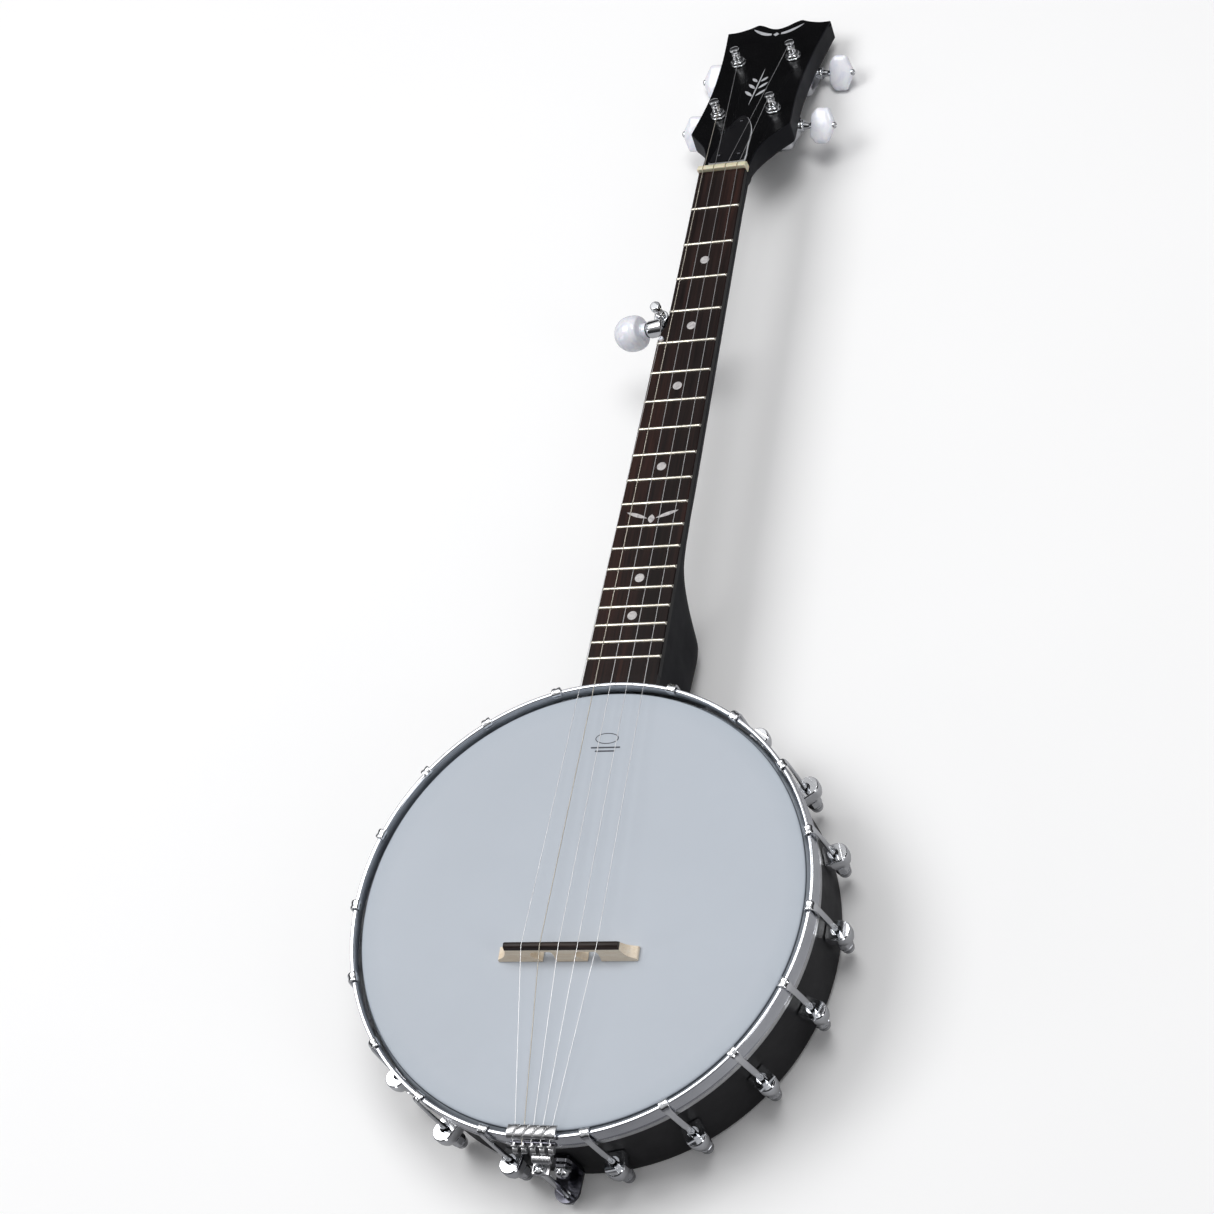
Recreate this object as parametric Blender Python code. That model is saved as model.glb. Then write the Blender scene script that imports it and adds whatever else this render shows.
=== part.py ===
"""Open-back five-string banjo: pot, neck, hardware, geared tuners and strings.

Everything is drawn in the banjo's own frame, in millimetres: the origin is the
centre of the tension hoop's top plane, +X is the treble side, +Y runs up the
neck and +Z comes out of the drum head.  One empty lays the whole instrument on
its back, resting on the tail edge of the rim and on the two upper tuner
buttons, as it lies on a table.
"""
import math

import bmesh
import bpy
import numpy as np
from mathutils import Matrix, Vector

MM = 0.001

# ---------------------------------------------------------------- dimensions
RIM_R = 139.7            # 11 inch rim, outside radius
RIM_IN = 128.2           # inside radius of the wooden rim
RIM_BACK = -69.0         # back edge of the rim
HOOP_R = 143.6           # tension hoop, outside
HOOP_IN = 140.7
HOOP_H = 12.0
HEAD_Z = -3.6            # top of the drum head
SCALE = 577.85           # string length, bridge to nut
BRIDGE_Y = -29.5         # end of the string length the frets are laid out on
BRIDGE_AT = -30.2        # the bridge stands a little further back
BRIDGE_DX = 0.6
NUT_Y = BRIDGE_Y + SCALE
Z19 = -6.0               # fingerboard surface at fret 19
ZNUT = -17.6             # fingerboard surface at the nut
BOARD_T = 5.0            # fingerboard thickness
HOOK_A0 = 15.24          # first hook from the neck axis, degrees
HOOK_STEP = 19.03        # hook to hook, degrees
HEAD_TILT = math.radians(16.0)   # headstock tilt back
FACE_Y, FACE_Z = 552.0, -21.1    # a point of the headstock's front face
HEAD_X = 1.8             # the headstock's centre line
STOCK_T = 16.0           # headstock thickness
TUNER_TURN = math.radians(7.9)   # all four tuners sit turned clockwise
POSTS = {1: (67.3, 20.3, 1), 2: (133.0, 20.6, 1), 3: (133.0, 20.6, -1), 4: (67.3, 20.3, -1)}
BUTTON_LEAN = {1: 43.0, 2: 30.0, 3: 43.0, 4: 40.0}
SHAFT_U, SHAFT_H = 9.6, -20.8    # worm shaft from the post axis, and below the face
PEG_POST = (-21.8, 428.0)
PEG_AX = (-27.6, 421.2, -20.4)   # a point on the fifth peg's knob axis
PEG_TILT = math.radians(11.0)
ROD_Z = -47.0            # coordinator rod
REST_TILT = math.radians(1.4501)   # the instrument lying on its back
ORIGIN_Y = 284.307
ORIGIN_Z = 72.483


def fret_y(n):
    return BRIDGE_Y + SCALE * 2 ** (-n / 12)


Y19 = fret_y(19)
SLOPE = (ZNUT - Z19) / (NUT_Y - Y19)


def board_z(y):
    """Height of the fingerboard's playing surface."""
    return Z19 + SLOPE * (y - Y19)


def right_w(y):
    return 18.4 + (24.3 - 18.4) * (NUT_Y - y) / (NUT_Y - Y19)


def left_w(y):
    """The bass edge steps in above the fifth fret."""
    low = right_w(y)
    high = 15.2 + (16.1 - 15.2) * (NUT_Y - y) / (NUT_Y - fret_y(4))
    t = min(1.0, max(0.0, (y - 408.5) / 12.0))
    t = t * t * (3 - 2 * t)
    return low + (high - low) * t


# ------------------------------------------------------------------- scene
for o in list(bpy.data.objects):
    bpy.data.objects.remove(o, do_unlink=True)

lying = bpy.data.objects.new("lying_on_its_back", None)
bpy.context.scene.collection.objects.link(lying)
lying.rotation_euler = (REST_TILT, 0, 0)
lying.location = (0, -ORIGIN_Y * MM, ORIGIN_Z * MM)

MATS = {}


def material(name, color, rough, metal):
    if name not in MATS:
        m = bpy.data.materials.new(name)
        m.use_nodes = True
        b = m.node_tree.nodes["Principled BSDF"]
        b.inputs["Base Color"].default_value = (*color, 1)
        b.inputs["Roughness"].default_value = rough
        b.inputs["Metallic"].default_value = metal
        MATS[name] = m
    return MATS[name]


BLACK = ("satin_black", (0.012, 0.012, 0.014), 0.42, 0.0)
CHROME = ("chrome", (0.78, 0.79, 0.81), 0.12, 1.0)
STEEL = ("steel", (0.55, 0.55, 0.56), 0.3, 1.0)
SKIN = ("frosted_head", (0.62, 0.67, 0.73), 0.6, 0.0)
ROSE = ("rosewood", (0.05, 0.025, 0.02), 0.5, 0.0)
BONE = ("bone", (0.83, 0.78, 0.62), 0.45, 0.0)
MAPLE = ("maple", (0.78, 0.66, 0.45), 0.5, 0.0)
EBONY = ("ebony", (0.025, 0.018, 0.016), 0.45, 0.0)
PEARL = ("pearl_button", (0.85, 0.85, 0.9), 0.25, 0.0)
ALLOY = ("alloy", (0.7, 0.7, 0.71), 0.3, 1.0)


def new_object(name, mesh, mat, matrix=None, smooth=True):
    ob = bpy.data.objects.new(name, mesh)
    bpy.context.scene.collection.objects.link(ob)
    if not mesh.materials:
        mesh.materials.append(material(*mat))
    if smooth:
        mesh.shade_smooth()
        mesh.set_sharp_from_angle(angle=math.radians(35))
    ob.parent = lying
    if matrix is not None:
        ob.matrix_local = matrix
    return ob


def to_mesh(bm, name, scale=True):
    bmesh.ops.remove_doubles(bm, verts=bm.verts, dist=1e-5)
    bmesh.ops.recalc_face_normals(bm, faces=bm.faces)
    if scale:
        for v in bm.verts:
            v.co *= MM
    me = bpy.data.meshes.new(name)
    bm.to_mesh(me)
    bm.free()
    return me


def add_rings(bm, rings, cap=True, close=False):
    """Join rings of points with quads; cap the two ends, or close on itself."""
    vr = [[bm.verts.new(p) for p in r] for r in rings]
    n = len(vr[0])
    pairs = list(zip(vr[:-1], vr[1:]))
    if close:
        pairs.append((vr[-1], vr[0]))
    for a, b in pairs:
        for i in range(n):
            j = (i + 1) % n
            bm.faces.new((a[i], a[j], b[j], b[i]))
    if cap and not close:
        bm.faces.new(list(reversed(vr[0])))
        bm.faces.new(vr[-1])
    return bm


def add_prism(bm, pts, z0, z1):
    return add_rings(bm, [[(x, y, z0) for x, y in pts], [(x, y, z1) for x, y in pts]])


def add_box(bm, lo, hi):
    return add_prism(bm, [(lo[0], lo[1]), (hi[0], lo[1]), (hi[0], hi[1]), (lo[0], hi[1])], lo[2], hi[2])


def circle(r, n, cx=0.0, cy=0.0, ph=0.0):
    return [(cx + r * math.cos(ph + 2 * math.pi * i / n), cy + r * math.sin(ph + 2 * math.pi * i / n)) for i in range(n)]


def ring_at(centre, axis, r, n, ph=0.0):
    """Points of a circle about an axis."""
    ax = Vector(axis).normalized()
    side = ax.orthogonal().normalized()
    up = ax.cross(side)
    c = Vector(centre)
    return [tuple(c + side * (r * math.cos(ph + 2 * math.pi * i / n)) + up * (r * math.sin(ph + 2 * math.pi * i / n))) for i in range(n)]


def add_turned(bm, axis_point, axis, profile, n, ph=0.0):
    """A solid turned about an axis from (distance along, radius) pairs."""
    ax = Vector(axis).normalized()
    p = Vector(axis_point)
    return add_rings(bm, [ring_at(p + ax * s, ax, r, n, ph) for s, r in profile])


def turned_ring(name, profile, n, mat, ph=0.0):
    """A ring turned about Z from a closed (radius, height) profile."""
    bm = bmesh.new()
    rings = []
    for i in range(n):
        a = ph + 2 * math.pi * i / n
        rings.append([(r * math.cos(a), r * math.sin(a), z) for r, z in profile])
    add_rings(bm, rings, close=True)
    return new_object(name, to_mesh(bm, name), mat)


def mesh_of(builder, name):
    bm = bmesh.new()
    builder(bm)
    return to_mesh(bm, name)


def combine(base, tools, operation="UNION"):
    """Apply Boolean steps to one mesh and return the result."""
    host = bpy.data.objects.new("host", base)
    bpy.context.scene.collection.objects.link(host)
    helpers = []
    for t in tools:
        h = bpy.data.objects.new("helper", t)
        bpy.context.scene.collection.objects.link(h)
        h.hide_render = True
        h.display_type = "WIRE"
        helpers.append(h)
        m = host.modifiers.new("step", "BOOLEAN")
        m.operation = operation
        m.object = h
        m.solver = "EXACT"
    deps = bpy.context.evaluated_depsgraph_get()
    deps.update()
    out = bpy.data.meshes.new_from_object(host.evaluated_get(deps))
    out.name = base.name + "_done"
    for o in [host] + helpers:
        bpy.data.objects.remove(o, do_unlink=True)
    bm = bmesh.new()
    bm.from_mesh(out)
    bmesh.ops.remove_doubles(bm, verts=bm.verts, dist=2e-6)
    bmesh.ops.dissolve_degenerate(bm, edges=bm.edges, dist=1e-6)
    bm.to_mesh(out)
    bm.free()
    return out


def arc_pts(cx, cy, r, a0, a1, n):
    return [(cx + r * math.cos(math.radians(a0 + (a1 - a0) * i / n)), cy + r * math.sin(math.radians(a0 + (a1 - a0) * i / n))) for i in range(n + 1)]


# --------------------------------------------------------------------- pot
SEG = 60
HALF = math.pi / SEG          # turns every ring so that a flat edge faces the tail
angles = [90 + HOOK_A0 + k * HOOK_STEP for k in range(9)] + [90 - HOOK_A0 - k * HOOK_STEP for k in range(8, -1, -1)]
SHOE_TURN = math.radians(1.0)   # each shoe sits a little round the rim from its claw

rim = turned_ring("rim_blank", [(RIM_R, -12.2), (RIM_R, RIM_BACK + 1), (RIM_R - 1, RIM_BACK), (RIM_IN + 1, RIM_BACK), (RIM_IN, RIM_BACK + 1),
                                (RIM_IN, -11.5), (132.5, -6.1), (135.6, -4.55), (136.6, -5.1), (139.1, -10.9)], SEG, BLACK, HALF)
rim_mesh = rim.data
bpy.data.objects.remove(rim, do_unlink=True)


def rim_holes(bm):
    for a in angles:
        t = math.radians(a) + SHOE_TURN
        ca, sa = math.cos(t), math.sin(t)
        add_turned(bm, (120 * ca, 120 * sa, -44.0), (ca, sa, 0), [(0, 2.5), (24, 2.5)], 8)
    for s in (1, -1):
        add_turned(bm, (0, s * 120, ROD_Z), (0, s, 0), [(0, 3.7), (24, 3.7)], 12)


rim_mesh = combine(rim_mesh, [mesh_of(rim_holes, "rim_holes")], "DIFFERENCE")
new_object("rim_shell", rim_mesh, BLACK)

turned_ring("tension_hoop", [(HOOP_R - 0.5, 0), (HOOP_R, -0.6), (HOOP_R, -HOOP_H + 0.5), (HOOP_R - 0.5, -HOOP_H), (HOOP_IN + 0.2, -HOOP_H), (HOOP_IN, -HOOP_H + 0.3), (HOOP_IN, -0.5), (HOOP_IN + 0.4, 0)], SEG, CHROME, HALF)
turned_ring("flesh_hoop", [(143.3, -12.4), (143.3, -16.0), (142.9, -16.4), (140.9, -16.4), (140.65, -16.1), (140.65, -12.4)], SEG, ALLOY, HALF)


def head_builder(bm):
    outer = [(0.01, HEAD_Z), (136.4, HEAD_Z), (137.2, HEAD_Z - 0.35), (137.75, HEAD_Z - 1.1), (138.0, HEAD_Z - 2.0), (140.32, -11.4), (140.32, -16.4)]
    inner = [(139.98, -16.4), (139.98, -11.5), (137.55, HEAD_Z - 2.2), (137.25, HEAD_Z - 1.35), (136.85, HEAD_Z - 0.85), (136.25, HEAD_Z - 0.55), (0.01, HEAD_Z - 0.55)]
    rings = []
    for i in range(SEG):
        a = HALF + 2 * math.pi * i / SEG
        rings.append([(r * math.cos(a), r * math.sin(a), z) for r, z in outer[1:] + inner[:-1]])
    vr = [[bm.verts.new(p) for p in r] for r in rings]
    n = len(vr[0])
    for k in range(SEG):
        a, b = vr[k], vr[(k + 1) % SEG]
        for i in range(n - 1):
            bm.faces.new((a[i], a[i + 1], b[i + 1], b[i]))
    bm.faces.new([r[0] for r in vr])
    bm.faces.new([r[-1] for r in reversed(vr)])


new_object("drum_head", mesh_of(head_builder, "drum_head"), SKIN)


# ------------------------------------------------------- hooks and brackets
# Drawn at angle 0: the radius runs along +X, the tangent along +Y.
def claw(bm):
    w = 3.1
    out = [(139.6, -3.0), (140.35, -3.0), (140.35, 0.3), (143.95, 0.3), (143.95, -4.0), (145.9, -4.0), (146.1, 0.8), (145.2, 1.9), (140.4, 1.9), (139.6, 1.2)]
    add_rings(bm, [[(x, -w, z) for x, z in out], [(x, w, z) for x, z in out]])


def shank(bm):
    rings = []
    for z, dy in ((-39.0, 2.5), (-2.0, 0.0)):
        rings.append([(144.1, dy - 2.1, z), (146.6, dy - 2.1, z), (146.6, dy + 2.1, z), (144.1, dy + 2.1, z)])
    add_rings(bm, rings)


def hook_rod(bm):
    add_turned(bm, (146.0, 0, -36.5), (0, 0, -1), [(0, 2.0), (15, 2.0)], 8)


def tension_nut(bm):
    add_turned(bm, (146.0, 0, -49.5), (0, 0, -1), [(0, 4.7), (8.4, 4.7), (10.0, 4.2), (13.6, 4.2), (14.8, 2.8)], 12)


def shoe(bm):
    w = 6.3
    pts = [(140.1, -w)] + arc_pts(155.0 - w, 0, w, -90, 90, 8) + [(140.1, w)]
    add_prism(bm, pts, -50.2, -38.0)


def shoe_bolt(bm):
    add_turned(bm, (141.0, 0, -44.0), (-1, 0, 0), [(0, 2.1), (13.7, 2.1)], 8)
    

def bolt_head(bm):
    add_turned(bm, (127.7, 0, -44.0), (-1, 0, 0), [(0, 4.4), (2.2, 4.2), (3.0, 2.6)], 10)


low_parts = [mesh_of(f, "tool") for f in (shoe, hook_rod, tension_nut, shoe_bolt, bolt_head)]
for m in low_parts:
    m.transform(Matrix.Rotation(SHOE_TURN, 4, "Z"))
bracket = combine(low_parts[0], [mesh_of(shank, "shank"), mesh_of(claw, "claw")] + low_parts[1:])
for i, a in enumerate(angles):
    new_object(f"bracket_{i + 1:02d}", bracket, CHROME, Matrix.Rotation(math.radians(a), 4, "Z"), smooth=(i == 0))


# -------------------------------------------------------------------- neck
def back_section(y, zt, wl, wr, depth, power, n=16, plane=None):
    """Flat-topped neck section with a rounded back."""
    pts = []
    for i in range(n + 1):
        t = math.pi * i / n
        c, s = math.cos(t), math.sin(t)
        x = math.copysign(abs(c) ** (2 / power), c) * (wr if c > 0 else wl)
        z = zt - 1.5 - (depth - 1.5) * abs(s) ** (2 / power)
        pts.append((x, y, z))
    return [(-wl, y, zt), (wr, y, zt)] + pts


def neck_depth(y):
    """Wood below the fingerboard along the neck, then the heel."""
    keys = [(136, 57.0), (150, 56.0), (172, 55.5), (190, 54.5), (201, 50.0), (212, 42.5), (225, 33.0), (240, 24.5), (258, 18.8), (280, 16.8), (400, 15.4), (548, 14.0)]
    return float(np.interp(y, [k[0] for k in keys], [k[1] for k in keys]))


def neck_power(y):
    return float(np.interp(y, [136, 190, 240, 280, 600], [4.2, 4.0, 2.9, 2.3, 2.3]))


def neck_loft(bm):
    rings = []
    for y in [132, 150, 172, 190, 201, 212, 225, 240, 258, 280, 340, 400, 409, 412, 415, 418, 421, 430, 490, 540, 553.2]:
        zt = board_z(y) - BOARD_T - 0.3
        k = float(np.interp(y, [136, 190, 215, 260, 300], [0.93, 0.9, 0.87, 0.97, 1.0]))
        rings.append(back_section(y, zt, left_w(min(y, NUT_Y)) * k, right_w(min(y, NUT_Y)) * k, neck_depth(y), neck_power(y)))
    add_rings(bm, rings)


def face_point(u, w, h):
    """A point by distance up the headstock, sideways and above its face."""
    return (HEAD_X + w, FACE_Y + u * math.cos(HEAD_TILT) + h * math.sin(HEAD_TILT), FACE_Z - u * math.sin(HEAD_TILT) + h * math.cos(HEAD_TILT))


def face_matrix(u, w, h, turn=0.0, side=1):
    """Axes: X outward to the side, Y up the headstock, Z off its face."""
    rot = Matrix.Rotation(-HEAD_TILT, 4, "X") @ Matrix.Rotation(-turn, 4, "Z")
    return Matrix.Translation(Vector(face_point(u, w, h)) * MM) @ rot


HALF_OUTLINE = [(1.9, 17.4), (9, 17.9), (15, 18.2), (20, 19.2), (25, 20.8), (30, 23.0), (35, 26.2), (40, 30.0), (44.5, 33.6), (48.8, 36.4),
                (56, 35.8), (66, 34.8), (80, 33.7), (95, 33.1), (108, 33.2), (122, 33.8), (140, 35.0), (158, 36.9), (176.3, 39.2)]
TOP_RIGHT = [(176.2, 34.0), (176.8, 30.0), (179.2, 23.0), (182.6, 16.0), (181.4, 12.8), (178.2, 8.6), (175.4, 4.2), (174.4, 0.0)]


def stock_outline():
    right = [(w, u) for u, w in HALF_OUTLINE + TOP_RIGHT]
    left = [(-w, u) for w, u in reversed(right) if w > 0.01]
    return right + left


def stock_plate(bm):
    add_prism(bm, stock_outline(), -STOCK_T, 0)
    m = Matrix.Translation(Vector(face_point(0, 0, 0))) @ Matrix.Rotation(-HEAD_TILT, 4, "X")
    bmesh.ops.transform(bm, matrix=m, verts=bm.verts)


def throat(bm):
    """The swelling behind the nut that joins the neck to the headstock."""
    rings = []
    for u, w, d, p, top in [(-14, 16.6, 14.0, 2.3, -5.6), (-4, 16.9, 15.6, 2.4, -3.2), (1.3, 17.1, 16.8, 2.5, -1.8), (2.4, 17.2, 18.2, 2.6, -0.35), (8, 17.5, 18.6, 2.8, -0.35),
                            (16, 17.9, 19.0, 3.2, -0.35), (26, 20.6, 18.0, 4.0, -0.35), (36, 26.0, 16.5, 5.0, -0.35), (42, 30.5, 15.4, 6.0, -0.35)]:
        sec = back_section(0, 0, w, w, d, p)
        rings.append([face_point(u, x, top + z) for x, _, z in sec])
    add_rings(bm, rings)


def pot_space(bm):
    add_turned(bm, (0, 0, -80), (0, 0, 1), [(0, RIM_R + 0.35), (62.9, RIM_R + 0.35), (62.9, HOOP_R + 0.5), (100, HOOP_R + 0.5)], 120)


def neck_cuts(bm):
    for k, (u, w, side) in POSTS.items():
        add_rings(bm, [[face_point(u + 5.25 * math.sin(t), side * w + 5.25 * math.cos(t), h) for t in np.linspace(0, 2 * math.pi, 16, endpoint=False)] for h in (-20, 4)])
    add_turned(bm, (-26, 421.2, -24.0), (1, 0, 0), [(0, 3.75), (20.6, 3.75)], 12)
    add_turned(bm, (0, 130, ROD_Z), (0, 1, 0), [(0, 3.7), (44, 3.7)], 12)
    # truss rod channel, open at the nut end
    rings = []
    for y in (178, 556.5):
        zt = board_z(y) - BOARD_T
        rings.append([(-3.4, y, zt + 3.2), (3.4, y, zt + 3.2), (3.4, y, zt - 8.5), (-3.4, y, zt - 8.5)])
    add_rings(bm, rings)


neck = combine(mesh_of(neck_loft, "neck"), [mesh_of(throat, "throat"), mesh_of(stock_plate, "plate")])
neck = combine(neck, [mesh_of(pot_space, "pot_space"), mesh_of(neck_cuts, "neck_cuts")], "DIFFERENCE")
new_object("neck", neck, BLACK)


def board(bm):
    ys = [148.6, 163, 200, 260, 330, 400, 408.5, 411, 413, 415, 417, 420.5, 470, NUT_Y - 0.1]
    rings = []
    for y in ys:
        z = board_z(y)
        l, r = left_w(y), right_w(y)
        rings.append([(-l, y, z), (r, y, z), (r, y, z - BOARD_T), (-l, y, z - BOARD_T)])
    add_rings(bm, rings)


def board_foot(bm):
    # the foot of the board follows the hoop
    pts = [(x, math.sqrt((HOOP_R + 0.6) ** 2 - x * x)) for x in np.linspace(-24.5, 24.5, 11)] + [(24.5, 150.0), (-24.5, 150.0)]
    zt, zb = board_z(149.0), board_z(149.0) - BOARD_T
    add_prism(bm, pts, zb + 0.06, zt - 0.02)


def fret_bars(bm):
    for n in range(1, 20):
        y = fret_y(n)
        l, r = left_w(y) + 0.15, right_w(y) + 0.15
        z = board_z(y)
        sec = [(-1.2, -0.6), (1.2, -0.6), (1.2, 0.25), (0.55, 1.0), (-0.55, 1.0), (-1.2, 0.25)]
        add_rings(bm, [[(-l, y + a, z + b) for a, b in sec], [(r, y + a, z + b) for a, b in sec]])


board_mesh = combine(mesh_of(board, "board"), [mesh_of(board_foot, "foot"), mesh_of(fret_bars, "bars")])
new_object("fretboard", board_mesh, ROSE)


def nut_builder(bm):
    y0 = NUT_Y + 0.25
    sec = [(y0, -22.5), (y0 + 4.7, -22.5), (y0 + 4.7, -17.6), (y0 + 3.6, -16.2), (y0 + 0.8, -15.5), (y0, -15.9)]
    add_rings(bm, [[(-15.7, y, z) for y, z in sec], [(18.9, y, z) for y, z in sec]])


new_object("string_nut", mesh_of(nut_builder, "string_nut"), BONE)


def pip(bm):
    z = board_z(405.8)
    add_turned(bm, (-17.9, 406.6, z + 0.3), (0, 0, 1), [(0, 1.6), (1.3, 1.5), (1.9, 0.9)], 10)


new_object("fifth_string_nut", mesh_of(pip, "fifth_string_nut"), BONE)


def truss(bm):
    a, b = 180.0, 553.0
    za, zb = board_z(a) - BOARD_T - 4.8, board_z(b) - BOARD_T - 4.8
    d = Vector((0, b - a, zb - za))
    add_turned(bm, (0, a, za), d, [(0, 2.6), (d.length - 12, 2.6), (d.length - 11.9, 3.1), (d.length, 3.1)], 10)


new_object("truss_rod", mesh_of(truss, "truss_rod"), STEEL)


COVER = [(7.0, 13.3), (12, 13.2), (20, 12.2), (28, 11.4), (36, 11.1), (43, 10.3), (49, 8.7), (54, 6.7), (58, 4.7), (61, 2.7), (62.8, 0.0)]


def cover(bm):
    pts = [(w, u) for u, w in COVER] + [(-w, u) for u, w in reversed(COVER[:-1])]
    add_prism(bm, pts, 0.3, 2.1)


new_object("truss_rod_cover", mesh_of(cover, "truss_rod_cover"), BLACK, face_matrix(0, 0, 0))


# --------------------------------------------- coordinator rod and tailpiece
def rod(bm):
    n = 10
    add_turned(bm, (0, 172, ROD_Z), (0, -1, 0), [(0, 3.1), (44.3, 3.1), (44.3, 6.2), (50.0, 6.2), (50.0, 3.1), (293.4, 3.1), (293.4, 6.2), (299.3, 6.2), (299.3, 3.1), (317.6, 3.1)], n)


new_object("coordinator_rod", mesh_of(rod, "coordinator_rod"), STEEL)


def acorn(bm):
    n = 12
    add_turned(bm, (0, -142.7, ROD_Z), (0, -1, 0), [(0, 5.4), (3.6, 5.4), (4.2, 4.6), (6.4, 3.6), (7.2, 1.6)], 12)


acorn_mesh = mesh_of(acorn, "acorn")
acorn_hole = mesh_of(lambda bm: add_turned(bm, (0, -142.0, ROD_Z), (0, -1, 0), [(0, 3.45), (4.1, 3.45)], 12), "acorn_hole")
new_object("tail_nut", combine(acorn_mesh, [acorn_hole], "DIFFERENCE"), CHROME)


def hanger_plate(bm):
    add_box(bm, (-9.5, -142.3, -60.0), (9.5, -140.1, -34.5))


def hanger_tongue(bm):
    pts = [(9.0, -141.0), (-9.0, -141.0)] + [(x, y) for x, y in arc_pts(0, -153.0, 9.0, 180, 360, 12)]
    add_prism(bm, pts, -59.9, -57.7)


hanger = combine(mesh_of(hanger_plate, "hanger"), [mesh_of(hanger_tongue, "tongue")])
hanger = combine(hanger, [mesh_of(lambda bm: (add_turned(bm, (0, -139.0, ROD_Z), (0, -1, 0), [(0, 3.7), (5, 3.7)], 12), add_turned(bm, (0, -155.5, -62), (0, 0, 1), [(0, 2.6), (6, 2.6)], 10)), "holes")], "DIFFERENCE")
new_object("tailpiece_hanger", hanger, STEEL)


def tail_plate(bm):
    """The cast plate: a comb of fingers over the hoop, folded down behind it."""
    prof = [(-134.6, 2.0), (-136.4, 3.4), (-143.6, 4.6), (-147.6, 3.2), (-149.0, -0.6), (-149.2, -8.6), (-151.0, -11.0), (-151.4, -17.6), (-149.9, -17.6), (-149.6, -11.8), (-147.6, -9.4), (-147.2, -1.2), (-146.0, 1.4), (-143.2, 2.4), (-136.4, 1.5), (-134.8, 1.2)]
    add_rings(bm, [[(-14.6, y, z) for y, z in prof], [(14.6, y, z) for y, z in prof]])


def tail_waist(bm):
    for s in (1, -1):
        add_rings(bm, [[(s * x, y, z) for x, z in ((5.4, -9.6), (20, -9.6), (20, -20.0), (5.4, -20.0))] for y in (-156, -144)])


def tail_tooth(bm):
    for i in range(5):
        x = -10.6 + 5.3 * i
        add_box(bm, (x - 1.3, -150.6, -8.0), (x + 1.3, -148.4, -3.2))


tail = combine(mesh_of(tail_plate, "tail"), [mesh_of(tail_waist, "waist")], "DIFFERENCE")
tail = combine(tail, [mesh_of(tail_tooth, "teeth"), mesh_of(lambda bm: add_box(bm, (-5.2, -158.2, -17.5), (5.2, -150.6, -15.3)), "lug")])
tail = combine(tail, [mesh_of(lambda bm: add_turned(bm, (0, -155.5, -20), (0, 0, 1), [(0, 2.6), (6, 2.6)], 10), "lug_hole")], "DIFFERENCE")
new_object("tailpiece", tail, CHROME)


def tail_bolt(bm):
    add_turned(bm, (0, -155.5, -10.4), (0, 0, -1), [(0, 1.6), (0.8, 3.2), (2.6, 3.7), (4.4, 3.2), (4.6, 2.2), (56.2, 2.2)], 12)


new_object("tailpiece_bolt", mesh_of(tail_bolt, "tailpiece_bolt"), CHROME)


def bolt_nut(bm):
    prof = [(2.5, -60.2), (4.6, -60.2), (4.6, -64.6), (2.5, -64.6)]
    rings = []
    for i in range(12):
        a = 2 * math.pi * i / 12
        rings.append([(r * math.cos(a), -155.5 + r * math.sin(a), z) for r, z in prof])
    add_rings(bm, rings, close=True)


new_object("tailpiece_nut", mesh_of(bolt_nut, "tailpiece_nut"), CHROME)


# ------------------------------------------------------------------ bridge
BR_Z0 = HEAD_Z + 0.3
CAP_Z = 8.3


def bridge_side():
    """Front outline of the maple bridge: three feet and two arches."""
    pts = [(-35.6, CAP_Z), (-36.6, 4.8), (-40.0, 0.7), (-43.6, -0.8), (-43.6, BR_Z0)]
    pts += [(-20.1, BR_Z0), (-19.2, -0.9), (-17.6, 1.0), (-15.6, 1.7), (-13.6, 1.0), (-12.2, -0.9), (-11.4, BR_Z0)]
    mirror = [(-x, z) for x, z in reversed(pts)]
    return pts + mirror


def bridge_builder(bm):
    out = bridge_side()
    add_rings(bm, [[(x + BRIDGE_DX, BRIDGE_AT - (4.6 if z < 2 else 2.6), z) for x, z in out], [(x + BRIDGE_DX, BRIDGE_AT + (4.6 if z < 2 else 2.6), z) for x, z in out]])


new_object("bridge", mesh_of(bridge_builder, "bridge"), MAPLE)


def cap(bm):
    add_rings(bm, [[(x, BRIDGE_AT - 2.5, z), (x, BRIDGE_AT + 2.5, z), (x, BRIDGE_AT + 1.1, z + 3.1), (x, BRIDGE_AT - 1.1, z + 3.1)] for x, z in ((BRIDGE_DX - 35.5, CAP_Z + 0.25), (BRIDGE_DX + 35.5, CAP_Z + 0.25))])


new_object("bridge_cap", mesh_of(cap, "bridge_cap"), EBONY)

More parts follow.
